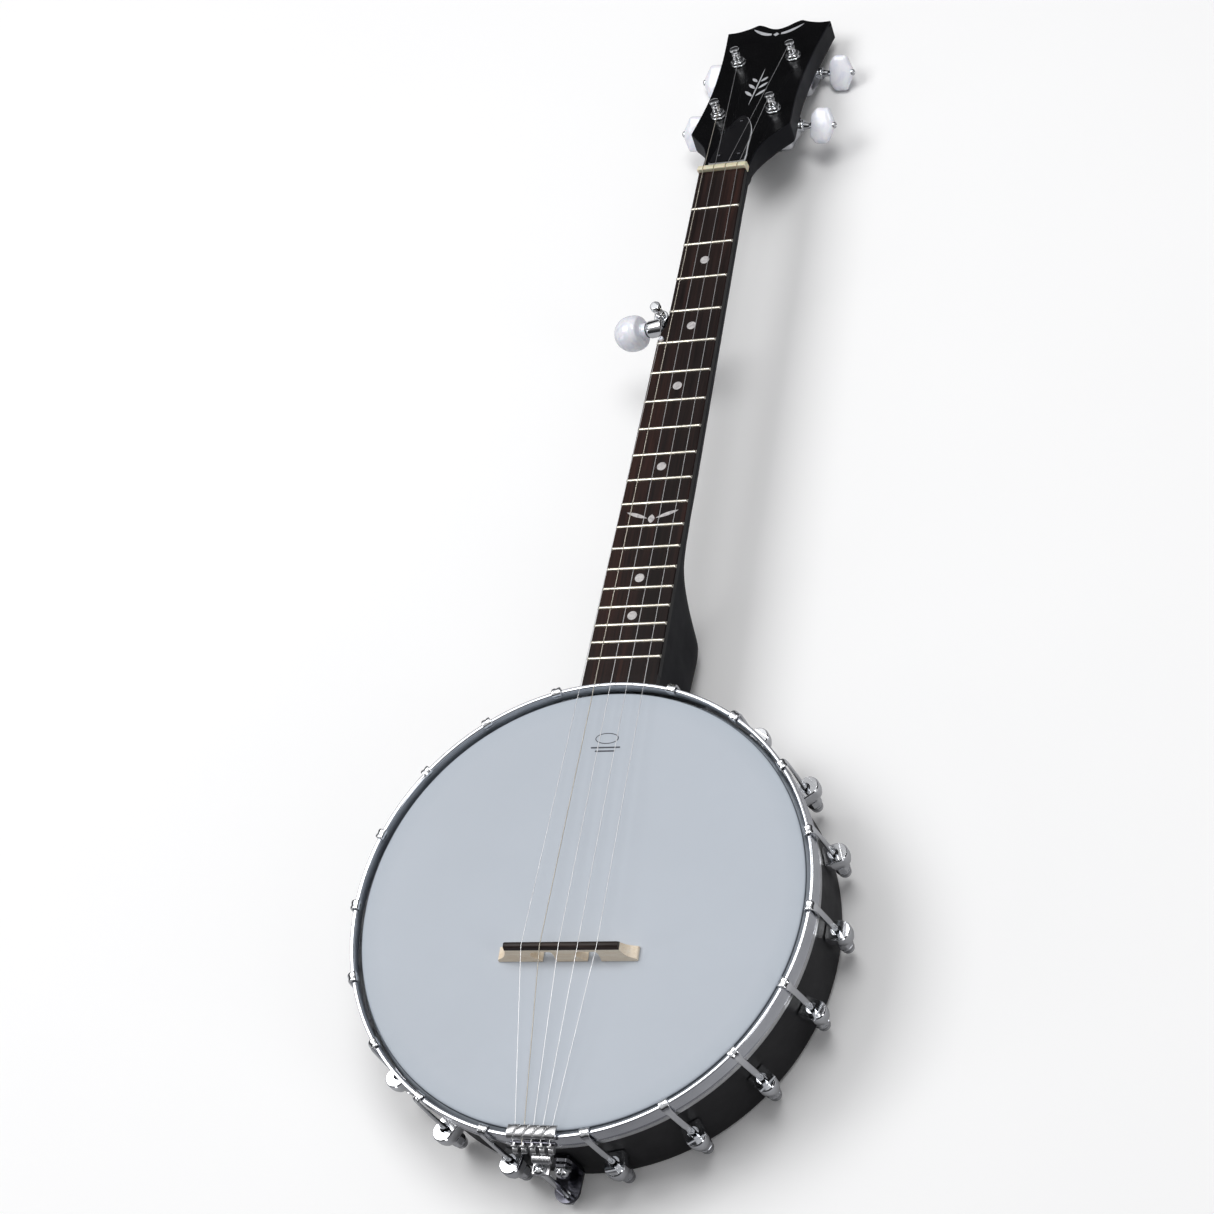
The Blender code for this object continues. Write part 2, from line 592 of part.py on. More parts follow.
# ------------------------------------------------------------------ tuners
for k, (u, w, side) in POSTS.items():
    base = face_matrix(u, side * w, 0, TUNER_TURN, side)

    def bushing(bm):
        prof = [(3.35, -14.0), (3.35, 3.6), (4.7, 3.6), (4.9, 1.4), (5.7, 1.4), (5.7, 0.3), (4.85, 0.3), (4.85, -14.0)]
        rings = []
        for i in range(14):
            a = 2 * math.pi * i / 14
            rings.append([(r * math.cos(a), r * math.sin(a), z) for r, z in prof])
        add_rings(bm, rings, close=True)

    new_object(f"tuner_bushing_{k}", mesh_of(bushing, "bushing"), CHROME, base)

    def housing_outline(x0, x1, y0, y1, r, n=4):
        pts = []
        for cx, cy, a in ((x1 - r, y0 + r, -90), (x1 - r, y1 - r, 0), (x0 + r, y1 - r, 90), (x0 + r, y0 + r, 180)):
            pts += arc_pts(cx, cy, r, a, a + 90, n)
        return [(side * x, y) for x, y in pts]

    def housing(bm):
        add_rings(bm, [[(x, y, z) for x, y in housing_outline(-8 + c, 12 - c, -13 + c, 15 - c, 4.0)] for z, c in ((-16.3, 0), (-25.2, 0), (-26.5, 1.3))])

    def pocket(bm):
        add_prism(bm, [(side * x, y) for x, y in ((-6.4, -7.2), (9.0, -7.2), (9.0, 13.3), (-6.4, 13.3))], -24.9, -12.0)

    def shaft_bore(bm):
        add_turned(bm, (side * 5.0, SHAFT_U, SHAFT_H), (side, 0, 0), [(0, 2.6), (10, 2.6)], 10)

    hs = combine(mesh_of(housing, "housing"), [mesh_of(pocket, "pocket"), mesh_of(shaft_bore, "bore")], "DIFFERENCE")
    new_object(f"tuner_housing_{k}", hs, CHROME, base)

    def post(bm):
        add_turned(bm, (0, 0, 0), (0, 0, 1), [(-24.3, 2.9), (-23.0, 2.9), (-23.0, 6.2), (-18.4, 6.2), (-18.4, 2.9), (4.2, 2.9), (5.6, 3.1), (8.4, 2.5), (10.6, 2.7), (12.0, 3.3), (13.3, 2.9)], 14)

    new_object(f"tuner_post_{k}", mesh_of(post, "post"), CHROME, base)

    # button and worm shaft, drawn about the shaft axis
    lean = math.radians(BUTTON_LEAN[k])

    def shaft(bm):
        add_turned(bm, (0, 0, 0), (side, 0, 0), [(-4.4, 2.2), (-3.6, 2.7), (5.4, 2.7), (6.2, 2.2), (13.2, 2.2), (15.4, 1.9), (18.2, 2.4), (19.6, 3.1), (24.0, 3.1)], 12)

    def paddle(bm):
        out = [(19.4, 5.2), (23.4, 11.4), (25.2, 12.4), (31.6, 12.0), (34.6, 9.6), (37.4, 4.4)]
        pts = [(x, y) for x, y in out] + [(x, -y) for x, y in reversed(out)]
        add_rings(bm, [[(side * x, y * k2, z) for x, y in pts] for z, k2 in ((-3.3, 0.86), (-1.9, 1.0), (1.9, 1.0), (3.3, 0.86))])
        m = Matrix.Rotation(math.pi / 2 - lean, 4, "X")
        bmesh.ops.transform(bm, matrix=m, verts=bm.verts)

    def end_cap(bm):
        add_turned(bm, (side * 36.0, 0, 0), (side, 0, 0), [(0, 2.1), (2.0, 2.1), (2.5, 1.5)], 10)

    bt = combine(mesh_of(shaft, "button"), [mesh_of(paddle, "paddle"), mesh_of(end_cap, "cap")])
    new_object(f"tuner_button_{k}", bt, PEARL, base @ Matrix.Translation(Vector((0, SHAFT_U, SHAFT_H)) * MM))

# ----------------------------------------------------------- fifth-string peg
AX = Vector((-math.cos(PEG_TILT), 0, -math.sin(PEG_TILT)))


def peg_barrel(bm):
    add_turned(bm, Vector(PEG_AX), AX, [(-7.4, 5.5), (-7.0, 5.9), (3.4, 5.9), (4.2, 5.2)], 14)


def peg_shank(bm):
    add_turned(bm, (-22.4, 421.2, -24.0), (1, 0, 0), [(0, 3.3), (16.4, 3.3)], 12)


def peg_tower(bm):
    add_turned(bm, (PEG_POST[0] - 1.0, PEG_POST[1], -25.5), (0, 0, 1), [(0, 4.4), (9.2, 4.9)], 14)


def peg_bores(bm):
    add_turned(bm, (PEG_POST[0] - 1.0, PEG_POST[1], -22.7), (0, 0, 1), [(0, 2.8), (6.9, 2.8), (6.9, 3.7), (12, 3.7)], 12)
    add_turned(bm, Vector(PEG_AX) - AX * 1.0, AX, [(0, 2.6), (8, 2.6)], 12)


peg = combine(mesh_of(peg_barrel, "peg"), [mesh_of(peg_tower, "tower"), mesh_of(peg_shank, "shank")])
peg = combine(peg, [mesh_of(peg_bores, "bores")], "DIFFERENCE")
new_object("fifth_peg_housing", peg, CHROME)


def peg_post(bm):
    add_turned(bm, (0, 0, 0), (0, 0, 1), [(-6.2, 2.4), (0.6, 2.4), (0.6, 3.3), (1.6, 3.3), (2.4, 2.6), (7.2, 2.4), (8.6, 3.3), (11.8, 3.3), (12.3, 2.7)], 14)


new_object("fifth_peg_post", mesh_of(peg_post, "fifth_peg_post"), CHROME, Matrix.Translation(Vector((PEG_POST[0] - 1.0, PEG_POST[1], -16.0)) * MM))


def peg_knob(bm):
    prof = [(-0.2, 2.2), (4.6, 2.2), (4.6, 5.0), (7.0, 5.1), (8.2, 5.4), (9.2, 7.4), (10.4, 9.4), (13.0, 11.4), (17.0, 12.1), (21.0, 11.6), (25.0, 9.4), (27.6, 6.2), (29.2, 2.2)]
    add_turned(bm, (0, 0, 0), (1, 0, 0), prof, 16)


knob_m = Matrix.Translation(Vector(PEG_AX) * MM) @ AX.to_track_quat("X", "Z").to_matrix().to_4x4()
new_object("fifth_peg_knob", mesh_of(peg_knob, "fifth_peg_knob"), PEARL, knob_m)


# ----------------------------------------------------------------- strings
def string(name, pts, r):
    """A taut string as a thin tube through its bearing points."""
    cu = bpy.data.curves.new(name, "CURVE")
    cu.dimensions = "3D"
    cu.bevel_depth = r * MM
    cu.bevel_resolution = 1
    cu.use_fill_caps = True
    sp = cu.splines.new("POLY")
    sp.points.add(len(pts) - 1)
    for p, q in zip(sp.points, pts):
        p.co = (q[0] * MM, q[1] * MM, q[2] * MM, 1)
    cu.materials.append(material(*STEEL))
    ob = bpy.data.objects.new(name, cu)
    bpy.context.scene.collection.objects.link(ob)
    ob.parent = lying


BRIDGE_X = {5: -23.1, 4: -11.5, 3: 0.1, 2: 11.9, 1: 23.7}
TAIL_X = {5: -11.1, 4: -5.5, 3: 0.0, 2: 5.6, 1: 11.2}
NUT_X = {4: -11.4, 3: -3.6, 2: 4.8, 1: 13.3}
GAUGE = {1: 0.17, 2: 0.18, 3: 0.2, 4: 0.3, 5: 0.17}
CAP_TOP = CAP_Z + 3.35
for s in range(1, 6):
    g = GAUGE[s]
    pts = [(TAIL_X[s], -149.9, 0.2 + g), (TAIL_X[s], -148.2, 4.2 + g), (TAIL_X[s], -143.6, 5.0 + g), (TAIL_X[s], -136.4, 3.8 + g), (BRIDGE_X[s], BRIDGE_AT - 1.4, CAP_TOP + 0.3 + g), (BRIDGE_X[s], BRIDGE_AT + 1.4, CAP_TOP + 0.3 + g)]
    if s == 5:
        pts += [(-17.9, 405.0, board_z(405.8) + 2.55 + g), (-17.9, 408.3, board_z(405.8) + 2.5 + g), (PEG_POST[0] + 1.75, 426.2, -11.2)]
    else:
        pts += [(NUT_X[s], NUT_Y + 0.4, -15.15 + g), (NUT_X[s], NUT_Y + 4.2, -15.85 + g)]
        u, w, side = POSTS[s]
        pts += [face_point(u - 1.0, side * (w - 3.9), 7.6)]
    string(f"string_{s}", pts, g)
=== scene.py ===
"""Looks of the open-back five-string banjo.

Shapes are drawn in the banjo's own frame, in millimetres (origin at the centre
of the tension hoop's top plane, +X treble side, +Y up the neck, +Z out of the
head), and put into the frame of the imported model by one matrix, LIE.
"""
import math

import bmesh
import bpy
import numpy as np
from mathutils import Matrix, Vector


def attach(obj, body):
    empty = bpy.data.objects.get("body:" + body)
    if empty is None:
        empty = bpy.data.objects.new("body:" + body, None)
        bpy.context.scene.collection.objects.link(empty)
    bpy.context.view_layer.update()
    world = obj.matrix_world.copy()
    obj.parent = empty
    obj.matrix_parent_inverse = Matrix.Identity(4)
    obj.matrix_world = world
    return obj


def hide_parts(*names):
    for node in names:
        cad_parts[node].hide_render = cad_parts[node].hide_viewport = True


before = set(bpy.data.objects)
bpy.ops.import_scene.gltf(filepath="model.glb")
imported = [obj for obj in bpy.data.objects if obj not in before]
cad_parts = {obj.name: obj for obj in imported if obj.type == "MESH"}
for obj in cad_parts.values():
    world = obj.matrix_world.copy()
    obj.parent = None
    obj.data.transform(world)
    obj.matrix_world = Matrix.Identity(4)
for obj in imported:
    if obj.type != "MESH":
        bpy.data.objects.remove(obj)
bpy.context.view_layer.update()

MM = 0.001
LIE = Matrix.Translation((0, -0.284307, 0.072483)) @ Matrix.Rotation(math.radians(1.4501), 4, "X")

# ------------------------------------------------------------- dimensions
RIM_R, RIM_IN, RIM_BACK = 139.7, 128.2, -69.0
HOOP_R, HOOP_IN, HOOP_H = 143.6, 140.7, 12.0
HEAD_Z = -3.6
SCALE = 577.85
BRIDGE_Y = -29.5
BRIDGE_AT, BRIDGE_DX = -32.4, 0.6
BRIDGE_SKEW = 0.0165


def bridge_y(x):
    """Where the bridge crosses the head at x: it stands a degree askew."""
    return BRIDGE_AT + BRIDGE_SKEW * x


NUT_Y = BRIDGE_Y + SCALE
Z19, ZNUT = -6.0, -17.6
BOARD_T = 5.0
HOOK_A0, HOOK_STEP = 15.24, 19.03
SHOE_TURN = math.radians(1.0)
HEAD_TILT = math.radians(16.0)
FACE_Y, FACE_Z = 552.0, -21.1
HEAD_X = 1.8
STOCK_T = 16.0
TUNER_TURN = math.radians(7.9)
POSTS = {1: (67.3, 20.3, 1), 2: (133.0, 20.6, 1), 3: (133.0, 20.6, -1), 4: (67.3, 20.3, -1)}
BUTTON_LEAN = {1: 43.0, 2: 30.0, 3: 43.0, 4: 40.0}
SHAFT_U, SHAFT_H = 9.6, -20.8
PEG_POST = (-22.8, 428.0)
PEG_AX = (-27.6, 421.2, -20.4)
PEG_TILT = math.radians(11.0)
ROD_Z = -47.0
CAP_Z = 8.3
CAP_TOP = CAP_Z + 3.35
BRIDGE_X = {5: -23.1, 4: -11.5, 3: 0.1, 2: 11.9, 1: 23.7}
TAIL_X = {5: -11.1, 4: -5.5, 3: 0.0, 2: 5.6, 1: 11.2}
NUT_X = {4: -11.4, 3: -3.6, 2: 4.8, 1: 13.3}


def fret_y(n):
    return BRIDGE_Y + SCALE * 2 ** (-n / 12)


Y19 = fret_y(19)
SLOPE = (ZNUT - Z19) / (NUT_Y - Y19)
HOOKS = [90 + HOOK_A0 + k * HOOK_STEP for k in range(9)] + [90 - HOOK_A0 - k * HOOK_STEP for k in range(8, -1, -1)]


def board_z(y):
    return Z19 + SLOPE * (y - Y19)


def right_w(y):
    return 18.4 + (24.3 - 18.4) * (NUT_Y - y) / (NUT_Y - Y19)


def left_w(y):
    low = right_w(y)
    high = 15.2 + (16.1 - 15.2) * (NUT_Y - y) / (NUT_Y - fret_y(4))
    t = min(1.0, max(0.0, (y - 408.5) / 12.0))
    t = t * t * (3 - 2 * t)
    return low + (high - low) * t


def face_point(u, w, h):
    return (HEAD_X + w, FACE_Y + u * math.cos(HEAD_TILT) + h * math.sin(HEAD_TILT), FACE_Z - u * math.sin(HEAD_TILT) + h * math.cos(HEAD_TILT))


def face_matrix(u, w, h, turn=0.0):
    """From millimetres on the headstock's face to the banjo's frame in millimetres."""
    return Matrix.Translation(Vector(face_point(u, w, h))) @ Matrix.Rotation(-HEAD_TILT, 4, "X") @ Matrix.Rotation(-turn, 4, "Z")


# -------------------------------------------------------------- materials
class Paint:
    """A node material built step by step."""

    def __init__(self, name, metallic=0.0, rough=0.4, ior=1.5):
        self.mat = bpy.data.materials.new(name)
        self.mat.use_nodes = True
        self.nt = self.mat.node_tree
        self.b = self.nt.nodes["Principled BSDF"]
        self.b.inputs["Metallic"].default_value = metallic
        self.b.inputs["Roughness"].default_value = rough
        self.b.inputs["IOR"].default_value = ior
        self.tc = self.nt.nodes.new("ShaderNodeTexCoord")
        self.normal = None

    def new(self, kind, **kw):
        n = self.nt.nodes.new(kind)
        for k, v in kw.items():
            setattr(n, k, v)
        return n

    def link(self, a, b):
        self.nt.links.new(a, b)

    def coords(self, stretch=(1, 1, 1), turn=(0, 0, 0), shift=(0, 0, 0)):
        m = self.new("ShaderNodeMapping")
        m.inputs["Scale"].default_value = stretch
        m.inputs["Rotation"].default_value = turn
        m.inputs["Location"].default_value = shift
        self.link(self.tc.outputs["Object"], m.inputs["Vector"])
        return m.outputs["Vector"]

    def noise(self, scale, detail=3.0, rough=0.55, at=None, distortion=0.0):
        n = self.new("ShaderNodeTexNoise")
        n.inputs["Scale"].default_value = scale
        n.inputs["Detail"].default_value = detail
        n.inputs["Roughness"].default_value = rough
        n.inputs["Distortion"].default_value = distortion
        self.link(at if at is not None else self.coords(), n.inputs["Vector"])
        return n.outputs["Fac"]

    def ramp(self, fac, stops):
        r = self.new("ShaderNodeValToRGB")
        e = r.color_ramp.elements
        while len(e) < len(stops):
            e.new(0.5)
        for el, (p, c) in zip(e, stops):
            el.position = p
            el.color = (*c, 1) if len(c) == 3 else c
        self.link(fac, r.inputs["Fac"])
        return r.outputs["Color"]

    def level(self, fac, lo, hi, a=0.3, b=0.7):
        m = self.new("ShaderNodeMapRange")
        m.inputs["From Min"].default_value = a
        m.inputs["From Max"].default_value = b
        m.inputs["To Min"].default_value = lo
        m.inputs["To Max"].default_value = hi
        self.link(fac, m.inputs["Value"])
        return m.outputs["Result"]

    def mix(self, fac, a, b, mode="MIX"):
        m = self.new("ShaderNodeMix", data_type="RGBA", blend_type=mode)
        if isinstance(fac, float):
            m.inputs["Factor"].default_value = fac
        else:
            self.link(fac, m.inputs["Factor"])
        for v, s in ((a, m.inputs["A"]), (b, m.inputs["B"])):
            if isinstance(v, tuple):
                s.default_value = (*v, 1)
            else:
                self.link(v, s)
        return m.outputs["Result"]

    def color(self, out):
        if isinstance(out, tuple):
            self.b.inputs["Base Color"].default_value = (*out, 1)
        else:
            self.link(out, self.b.inputs["Base Color"])
        return self

    def rough(self, out):
        self.link(out, self.b.inputs["Roughness"])
        return self

    def bump(self, fac, strength, distance):
        n = self.new("ShaderNodeBump")
        n.inputs["Strength"].default_value = strength
        n.inputs["Distance"].default_value = distance
        self.link(fac, n.inputs["Height"])
        if self.normal is not None:
            self.link(self.normal, n.inputs["Normal"])
        self.normal = n.outputs["Normal"]
        self.link(self.normal, self.b.inputs["Normal"])
        return self

    def set(self, **kw):
        for k, v in kw.items():
            self.b.inputs[k.replace("_", " ")].default_value = v
        return self


def lacquer(name, lo, hi, r0, r1, spec, grain=0.03):
    p = Paint(name)
    soft = p.noise(14, 4)
    p.color(p.ramp(soft, [(0.3, lo), (0.7, hi)]))
    fine = p.noise(520, 3)
    p.rough(p.level(p.noise(60, 4), r0, r1))
    pores = p.noise(90, 4, 0.6, p.coords((10, 1, 10)))
    p.bump(pores, grain, 0.0004).bump(fine, 0.05, 0.00006)
    p.set(Specular_IOR_Level=spec)
    return p.mat


def chrome(name, lo=(0.74, 0.755, 0.78), hi=(0.86, 0.87, 0.89), r0=0.05, r1=0.13, wave=0.05):
    p = Paint(name, metallic=1.0)
    p.color(p.ramp(p.noise(70, 5), [(0.3, lo), (0.7, hi)]))
    p.rough(p.level(p.noise(160, 4, 0.6), r0, r1))
    p.bump(p.noise(45, 2), wave, 0.0006).bump(p.noise(900, 2), 0.03, 0.00003)
    return p.mat


def rosewood():
    p = Paint("rosewood")
    wide = p.noise(7, 3, 0.5, p.coords((9, 0.55, 9)), 0.6)
    fine = p.noise(60, 6, 0.65, p.coords((10, 0.35, 10)), 0.3)
    base = p.ramp(wide, [(0.30, (0.0075, 0.0048, 0.0046)), (0.50, (0.0135, 0.0070, 0.0062)), (0.66, (0.030, 0.0115, 0.0085)), (0.80, (0.0120, 0.0064, 0.0056))])
    streak = p.ramp(fine, [(0.38, (0.45, 0.42, 0.42)), (0.60, (1.25, 1.15, 1.1))])
    p.color(p.mix(1.0, base, streak, "MULTIPLY"))
    p.rough(p.level(fine, 0.36, 0.56))
    pores = p.noise(240, 3, 0.7, p.coords((8, 0.3, 8)))
    p.bump(fine, 0.12, 0.0003).bump(pores, 0.25, 0.00015)
    p.set(Specular_IOR_Level=0.14)
    return p.mat


def maple():
    p = Paint("maple")
    rings = p.noise(40, 4, 0.55, p.coords((0.5, 6, 7)), 0.4)
    base = p.ramp(rings, [(0.32, (0.86, 0.70, 0.51)), (0.5, (0.93, 0.80, 0.63)), (0.68, (0.96, 0.86, 0.72))])
    fleck = p.noise(300, 3, 0.6, p.coords((0.6, 5, 5)))
    p.color(p.mix(0.2, base, p.ramp(fleck, [(0.42, (0.58, 0.45, 0.31)), (0.55, (0.88, 0.80, 0.66))])))
    p.rough(p.level(rings, 0.42, 0.55))
    p.bump(fleck, 0.12, 0.00015)
    return p.mat


def ebony():
    p = Paint("ebony")
    g = p.noise(60, 5, 0.6, p.coords((0.4, 8, 8)))
    p.color(p.ramp(g, [(0.35, (0.013, 0.009, 0.008)), (0.6, (0.032, 0.021, 0.018)), (0.72, (0.07, 0.05, 0.042))]))
    p.rough(p.level(g, 0.3, 0.5))
    p.bump(g, 0.15, 0.0002)
    p.set(Specular_IOR_Level=0.2)
    return p.mat


def bone():
    p = Paint("bone")
    g = p.noise(60, 4, 0.5, p.coords((1, 3, 1)))
    p.color(p.ramp(g, [(0.35, (0.66, 0.60, 0.42)), (0.65, (0.76, 0.72, 0.55))]))
    p.rough(p.level(p.noise(260, 3), 0.32, 0.48))
    p.bump(p.noise(400, 2), 0.06, 0.0001)
    p.set(Subsurface_Weight=0.12, Subsurface_Scale=0.002)
    return p.mat


def pearl_button():
    p = Paint("pearl_button")
    swirl = p.noise(85, 3, 0.5, None, 2.2)
    p.color(p.ramp(swirl, [(0.30, (0.77, 0.79, 0.88)), (0.48, (0.84, 0.85, 0.92)), (0.62, (0.90, 0.91, 0.95)), (0.75, (0.80, 0.82, 0.90))]))
    p.rough(p.level(swirl, 0.16, 0.28))
    p.bump(swirl, 0.05, 0.0003)
    p.set(Subsurface_Weight=0.1, Subsurface_Scale=0.003, Coat_Weight=0.5, Coat_Roughness=0.08)
    return p.mat


def pearl_dot():
    p = Paint("pearl_dot")
    swirl = p.noise(240, 3, 0.6, None, 1.6)
    p.color(p.ramp(swirl, [(0.3, (0.36, 0.34, 0.35)), (0.5, (0.50, 0.48, 0.48)), (0.7, (0.62, 0.60, 0.58))]))
    p.rough(p.level(swirl, 0.25, 0.4))
    p.bump(swirl, 0.08, 0.0001)
    return p.mat


def drum_film():
    p = Paint("drum_film", rough=0.5)
    cloud = p.noise(9, 4, 0.5)
    col = p.ramp(cloud, [(0.3, (0.452, 0.492, 0.546)), (0.7, (0.476, 0.518, 0.575))])
    # slightly darker toward the rim, over the bearing edge; a thin painted shade ring where the film turns down into
    # the gap at the hoop; the turned-down collar beyond is lighter
    sep = p.new("ShaderNodeSeparateXYZ")
    p.link(p.coords(shift=(0, 0.2843, 0)), sep.inputs[0])
    xy = p.new("ShaderNodeCombineXYZ")
    p.link(sep.outputs[0], xy.inputs[0])
    p.link(sep.outputs[1], xy.inputs[1])
    dist = p.new("ShaderNodeVectorMath", operation="LENGTH")
    p.link(xy.outputs[0], dist.inputs[0])
    edge = p.level(dist.outputs["Value"], 0.0, 1.0, 0.1245, 0.1365)
    # painted shade: a thin dark ring at the crease, standing in for the shade of the gap between film and hoop
    crease_shade_mask = p.level(dist.outputs["Value"], 0.0, 1.0, 0.1370, 0.1375)
    collar = p.level(dist.outputs["Value"], 0.0, 1.0, 0.13765, 0.1379)
    film_with_crease_shade = p.mix(crease_shade_mask, p.mix(edge, col, (0.435, 0.48, 0.535)), (0.05, 0.06, 0.075))
    p.color(p.mix(collar, film_with_crease_shade, (0.62, 0.67, 0.72)))
    grain = p.noise(1500, 3, 0.7)
    p.rough(p.level(p.noise(700, 3), 0.42, 0.6))
    p.bump(grain, 0.18, 0.00008).bump(p.noise(6, 2), 0.03, 0.002)
    p.set(Specular_IOR_Level=0.4)
    return p.mat


def plain_metal(name, lo, hi, r0, r1, stretch=(1, 1, 1), scale=300):
    p = Paint(name, metallic=1.0)
    g = p.noise(scale, 4, 0.6, p.coords(stretch))
    p.color(p.ramp(g, [(0.3, lo), (0.7, hi)]))
    p.rough(p.level(g, r0, r1))
    p.bump(g, 0.08, 0.00008)
    return p.mat


def wound():
    p = Paint("wound_string", metallic=1.0)
    w = p.new("ShaderNodeTexWave", wave_type="BANDS", bands_direction="Y")
    w.inputs["Scale"].default_value = 900
    w.inputs["Distortion"].default_value = 0.5
    p.link(p.coords(), w.inputs["Vector"])
    p.color(p.ramp(w.outputs["Fac"], [(0.2, (0.52, 0.47, 0.38)), (0.8, (0.84, 0.80, 0.72))]))
    p.rough(p.level(w.outputs["Fac"], 0.28, 0.4))
    p.bump(w.outputs["Fac"], 0.5, 0.0001)
    return p.mat


def ink():
    p = Paint("print_ink")
    g = p.noise(500, 4)
    p.color(p.ramp(g, [(0.35, (0.03, 0.035, 0.05)), (0.7, (0.055, 0.06, 0.08))]))
    p.rough(p.level(g, 0.4, 0.6))
    return p.mat


M_RIM = lacquer("satin_black_rim", (0.0075, 0.0075, 0.0088), (0.0105, 0.0102, 0.012), 0.40, 0.52, 0.32)
M_NECK = lacquer("satin_black_neck", (0.0058, 0.0062, 0.0088), (0.0084, 0.0089, 0.0118), 0.42, 0.52, 0.14)
M_FACE = lacquer("gloss_black_face", (0.0018, 0.0018, 0.0022), (0.0030, 0.0030, 0.0036), 0.16, 0.24, 0.30, 0.01)
M_COVER = lacquer("cover_black_ply", (0.0040, 0.0040, 0.0052), (0.0070, 0.0070, 0.0085), 0.26, 0.36, 0.4, 0.01)
M_BINDING = lacquer("board_edge_black", (0.006, 0.006, 0.007), (0.010, 0.0095, 0.0095), 0.42, 0.55, 0.35)
M_BLACKPL = lacquer("black_washer", (0.012, 0.012, 0.013), (0.02, 0.02, 0.022), 0.35, 0.5, 0.4, 0.0)
M_CHROME = chrome("chrome")
M_HOOP = chrome("hoop_chrome", (0.60, 0.615, 0.655), (0.70, 0.715, 0.75), 0.10, 0.2, 0.03)
M_CAST = chrome("cast_chrome", (0.60, 0.605, 0.615), (0.74, 0.74, 0.75), 0.22, 0.36, 0.2)
M_DARKCR = chrome("dark_chrome", (0.07, 0.07, 0.085), (0.12, 0.12, 0.14), 0.1, 0.2, 0.05)
M_STEEL = plain_metal("plain_steel", (0.42, 0.42, 0.43), (0.60, 0.60, 0.60), 0.22, 0.4)
M_FRET = plain_metal("fret_silver", (0.74, 0.70, 0.60), (0.86, 0.82, 0.72), 0.24, 0.4, (1, 8, 8))
M_STRING = plain_metal("string_steel", (0.78, 0.78, 0.79), (0.90, 0.90, 0.90), 0.28, 0.38, (1, 6, 1))
M_ALLOY = plain_metal("alloy_hoop", (0.62, 0.62, 0.63), (0.74, 0.74, 0.75), 0.3, 0.45)
M_SCREW = plain_metal("black_screw", (0.03, 0.03, 0.034), (0.06, 0.06, 0.066), 0.25, 0.4)
M_SILVER = plain_metal("silver_inlay", (0.50, 0.51, 0.54), (0.66, 0.67, 0.70), 0.32, 0.45)
M_SILVER.node_tree.nodes["Principled BSDF"].inputs["Metallic"].default_value = 0.25
M_WOUND = wound()
M_ROSE, M_MAPLE, M_EBONY, M_BONE = rosewood(), maple(), ebony(), bone()
M_PEARL, M_DOT, M_FILM, M_INK = pearl_button(), pearl_dot(), drum_film(), ink()
ply = Paint("white_ply_sheet")
ply.color(ply.ramp(ply.noise(200, 3), [(0.3, (0.72, 0.73, 0.76)), (0.7, (0.82, 0.83, 0.86))]))
ply.rough(ply.level(ply.noise(400, 3), 0.3, 0.45))
M_PLYW = ply.mat


# ---------------------------------------------------------------- helpers
def finish_mesh(bm, name, matrix=None, doubles=True):
    if doubles:
        bmesh.ops.remove_doubles(bm, verts=bm.verts, dist=1e-4)
    bmesh.ops.recalc_face_normals(bm, faces=bm.faces)
    bm.transform(LIE @ Matrix.Scale(MM, 4) @ (matrix if matrix is not None else Matrix.Identity(4)))
    if (matrix is not None) and matrix.determinant() < 0:
        bmesh.ops.reverse_faces(bm, faces=bm.faces)
    me = bpy.data.meshes.new(name)
    bm.to_mesh(me)
    bm.free()
    return me


def piece(name, me, mat, body="banjo", node=None, bevel=0.0, seg=2, angle=32, smooth=40, obj_matrix=None):
    """Put a mesh in the scene as one named piece of the banjo."""
    if isinstance(me, bmesh.types.BMesh):
        me = finish_mesh(me, name)
    if not me.materials:
        me.materials.append(mat)
    me.shade_smooth()
    if bevel <= 0:
        me.set_sharp_from_angle(angle=math.radians(smooth))
    ob = bpy.data.objects.new(name, me)
    bpy.context.scene.collection.objects.link(ob)
    if bevel > 0:
        m = ob.modifiers.new("edges", "BEVEL")
        m.width = bevel * MM
        m.segments = seg
        m.limit_method = "ANGLE"
        m.angle_limit = math.radians(angle)
        m.harden_normals = True
        m.use_clamp_overlap = True
    if obj_matrix is not None:
        ob.matrix_world = obj_matrix
    if node:
        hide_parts(*([node] if isinstance(node, str) else node))
    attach(ob, body)
    return ob


def rings(bm, rows, cap=True, close=False):
    vr = [[bm.verts.new(p) for p in r] for r in rows]
    n = len(vr[0])
    pairs = list(zip(vr[:-1], vr[1:]))
    if close:
        pairs.append((vr[-1], vr[0]))
    for a, b in pairs:
        for i in range(n):
            j = (i + 1) % n
            bm.faces.new((a[i], a[j], b[j], b[i]))
    if cap and not close:
        bm.faces.new(list(reversed(vr[0])))
        bm.faces.new(vr[-1])
    return bm


def prism(bm, pts, z0, z1):
    return rings(bm, [[(x, y, z0) for x, y in pts], [(x, y, z1) for x, y in pts]])


def box(bm, lo, hi):
    return prism(bm, [(lo[0], lo[1]), (hi[0], lo[1]), (hi[0], hi[1]), (lo[0], hi[1])], lo[2], hi[2])


def ring_at(c, axis, r, n, ph=0.0):
    ax = Vector(axis).normalized()
    side = ax.orthogonal().normalized()
    up = ax.cross(side)
    c = Vector(c)
    return [tuple(c + side * (r * math.cos(ph + 2 * math.pi * i / n)) + up * (r * math.sin(ph + 2 * math.pi * i / n))) for i in range(n)]


def turned(bm, at, axis, prof, n=48, ph=0.0):
    ax = Vector(axis).normalized()
    p = Vector(at)
    return rings(bm, [ring_at(p + ax * s, ax, max(r, 0.01), n, ph) for s, r in prof])


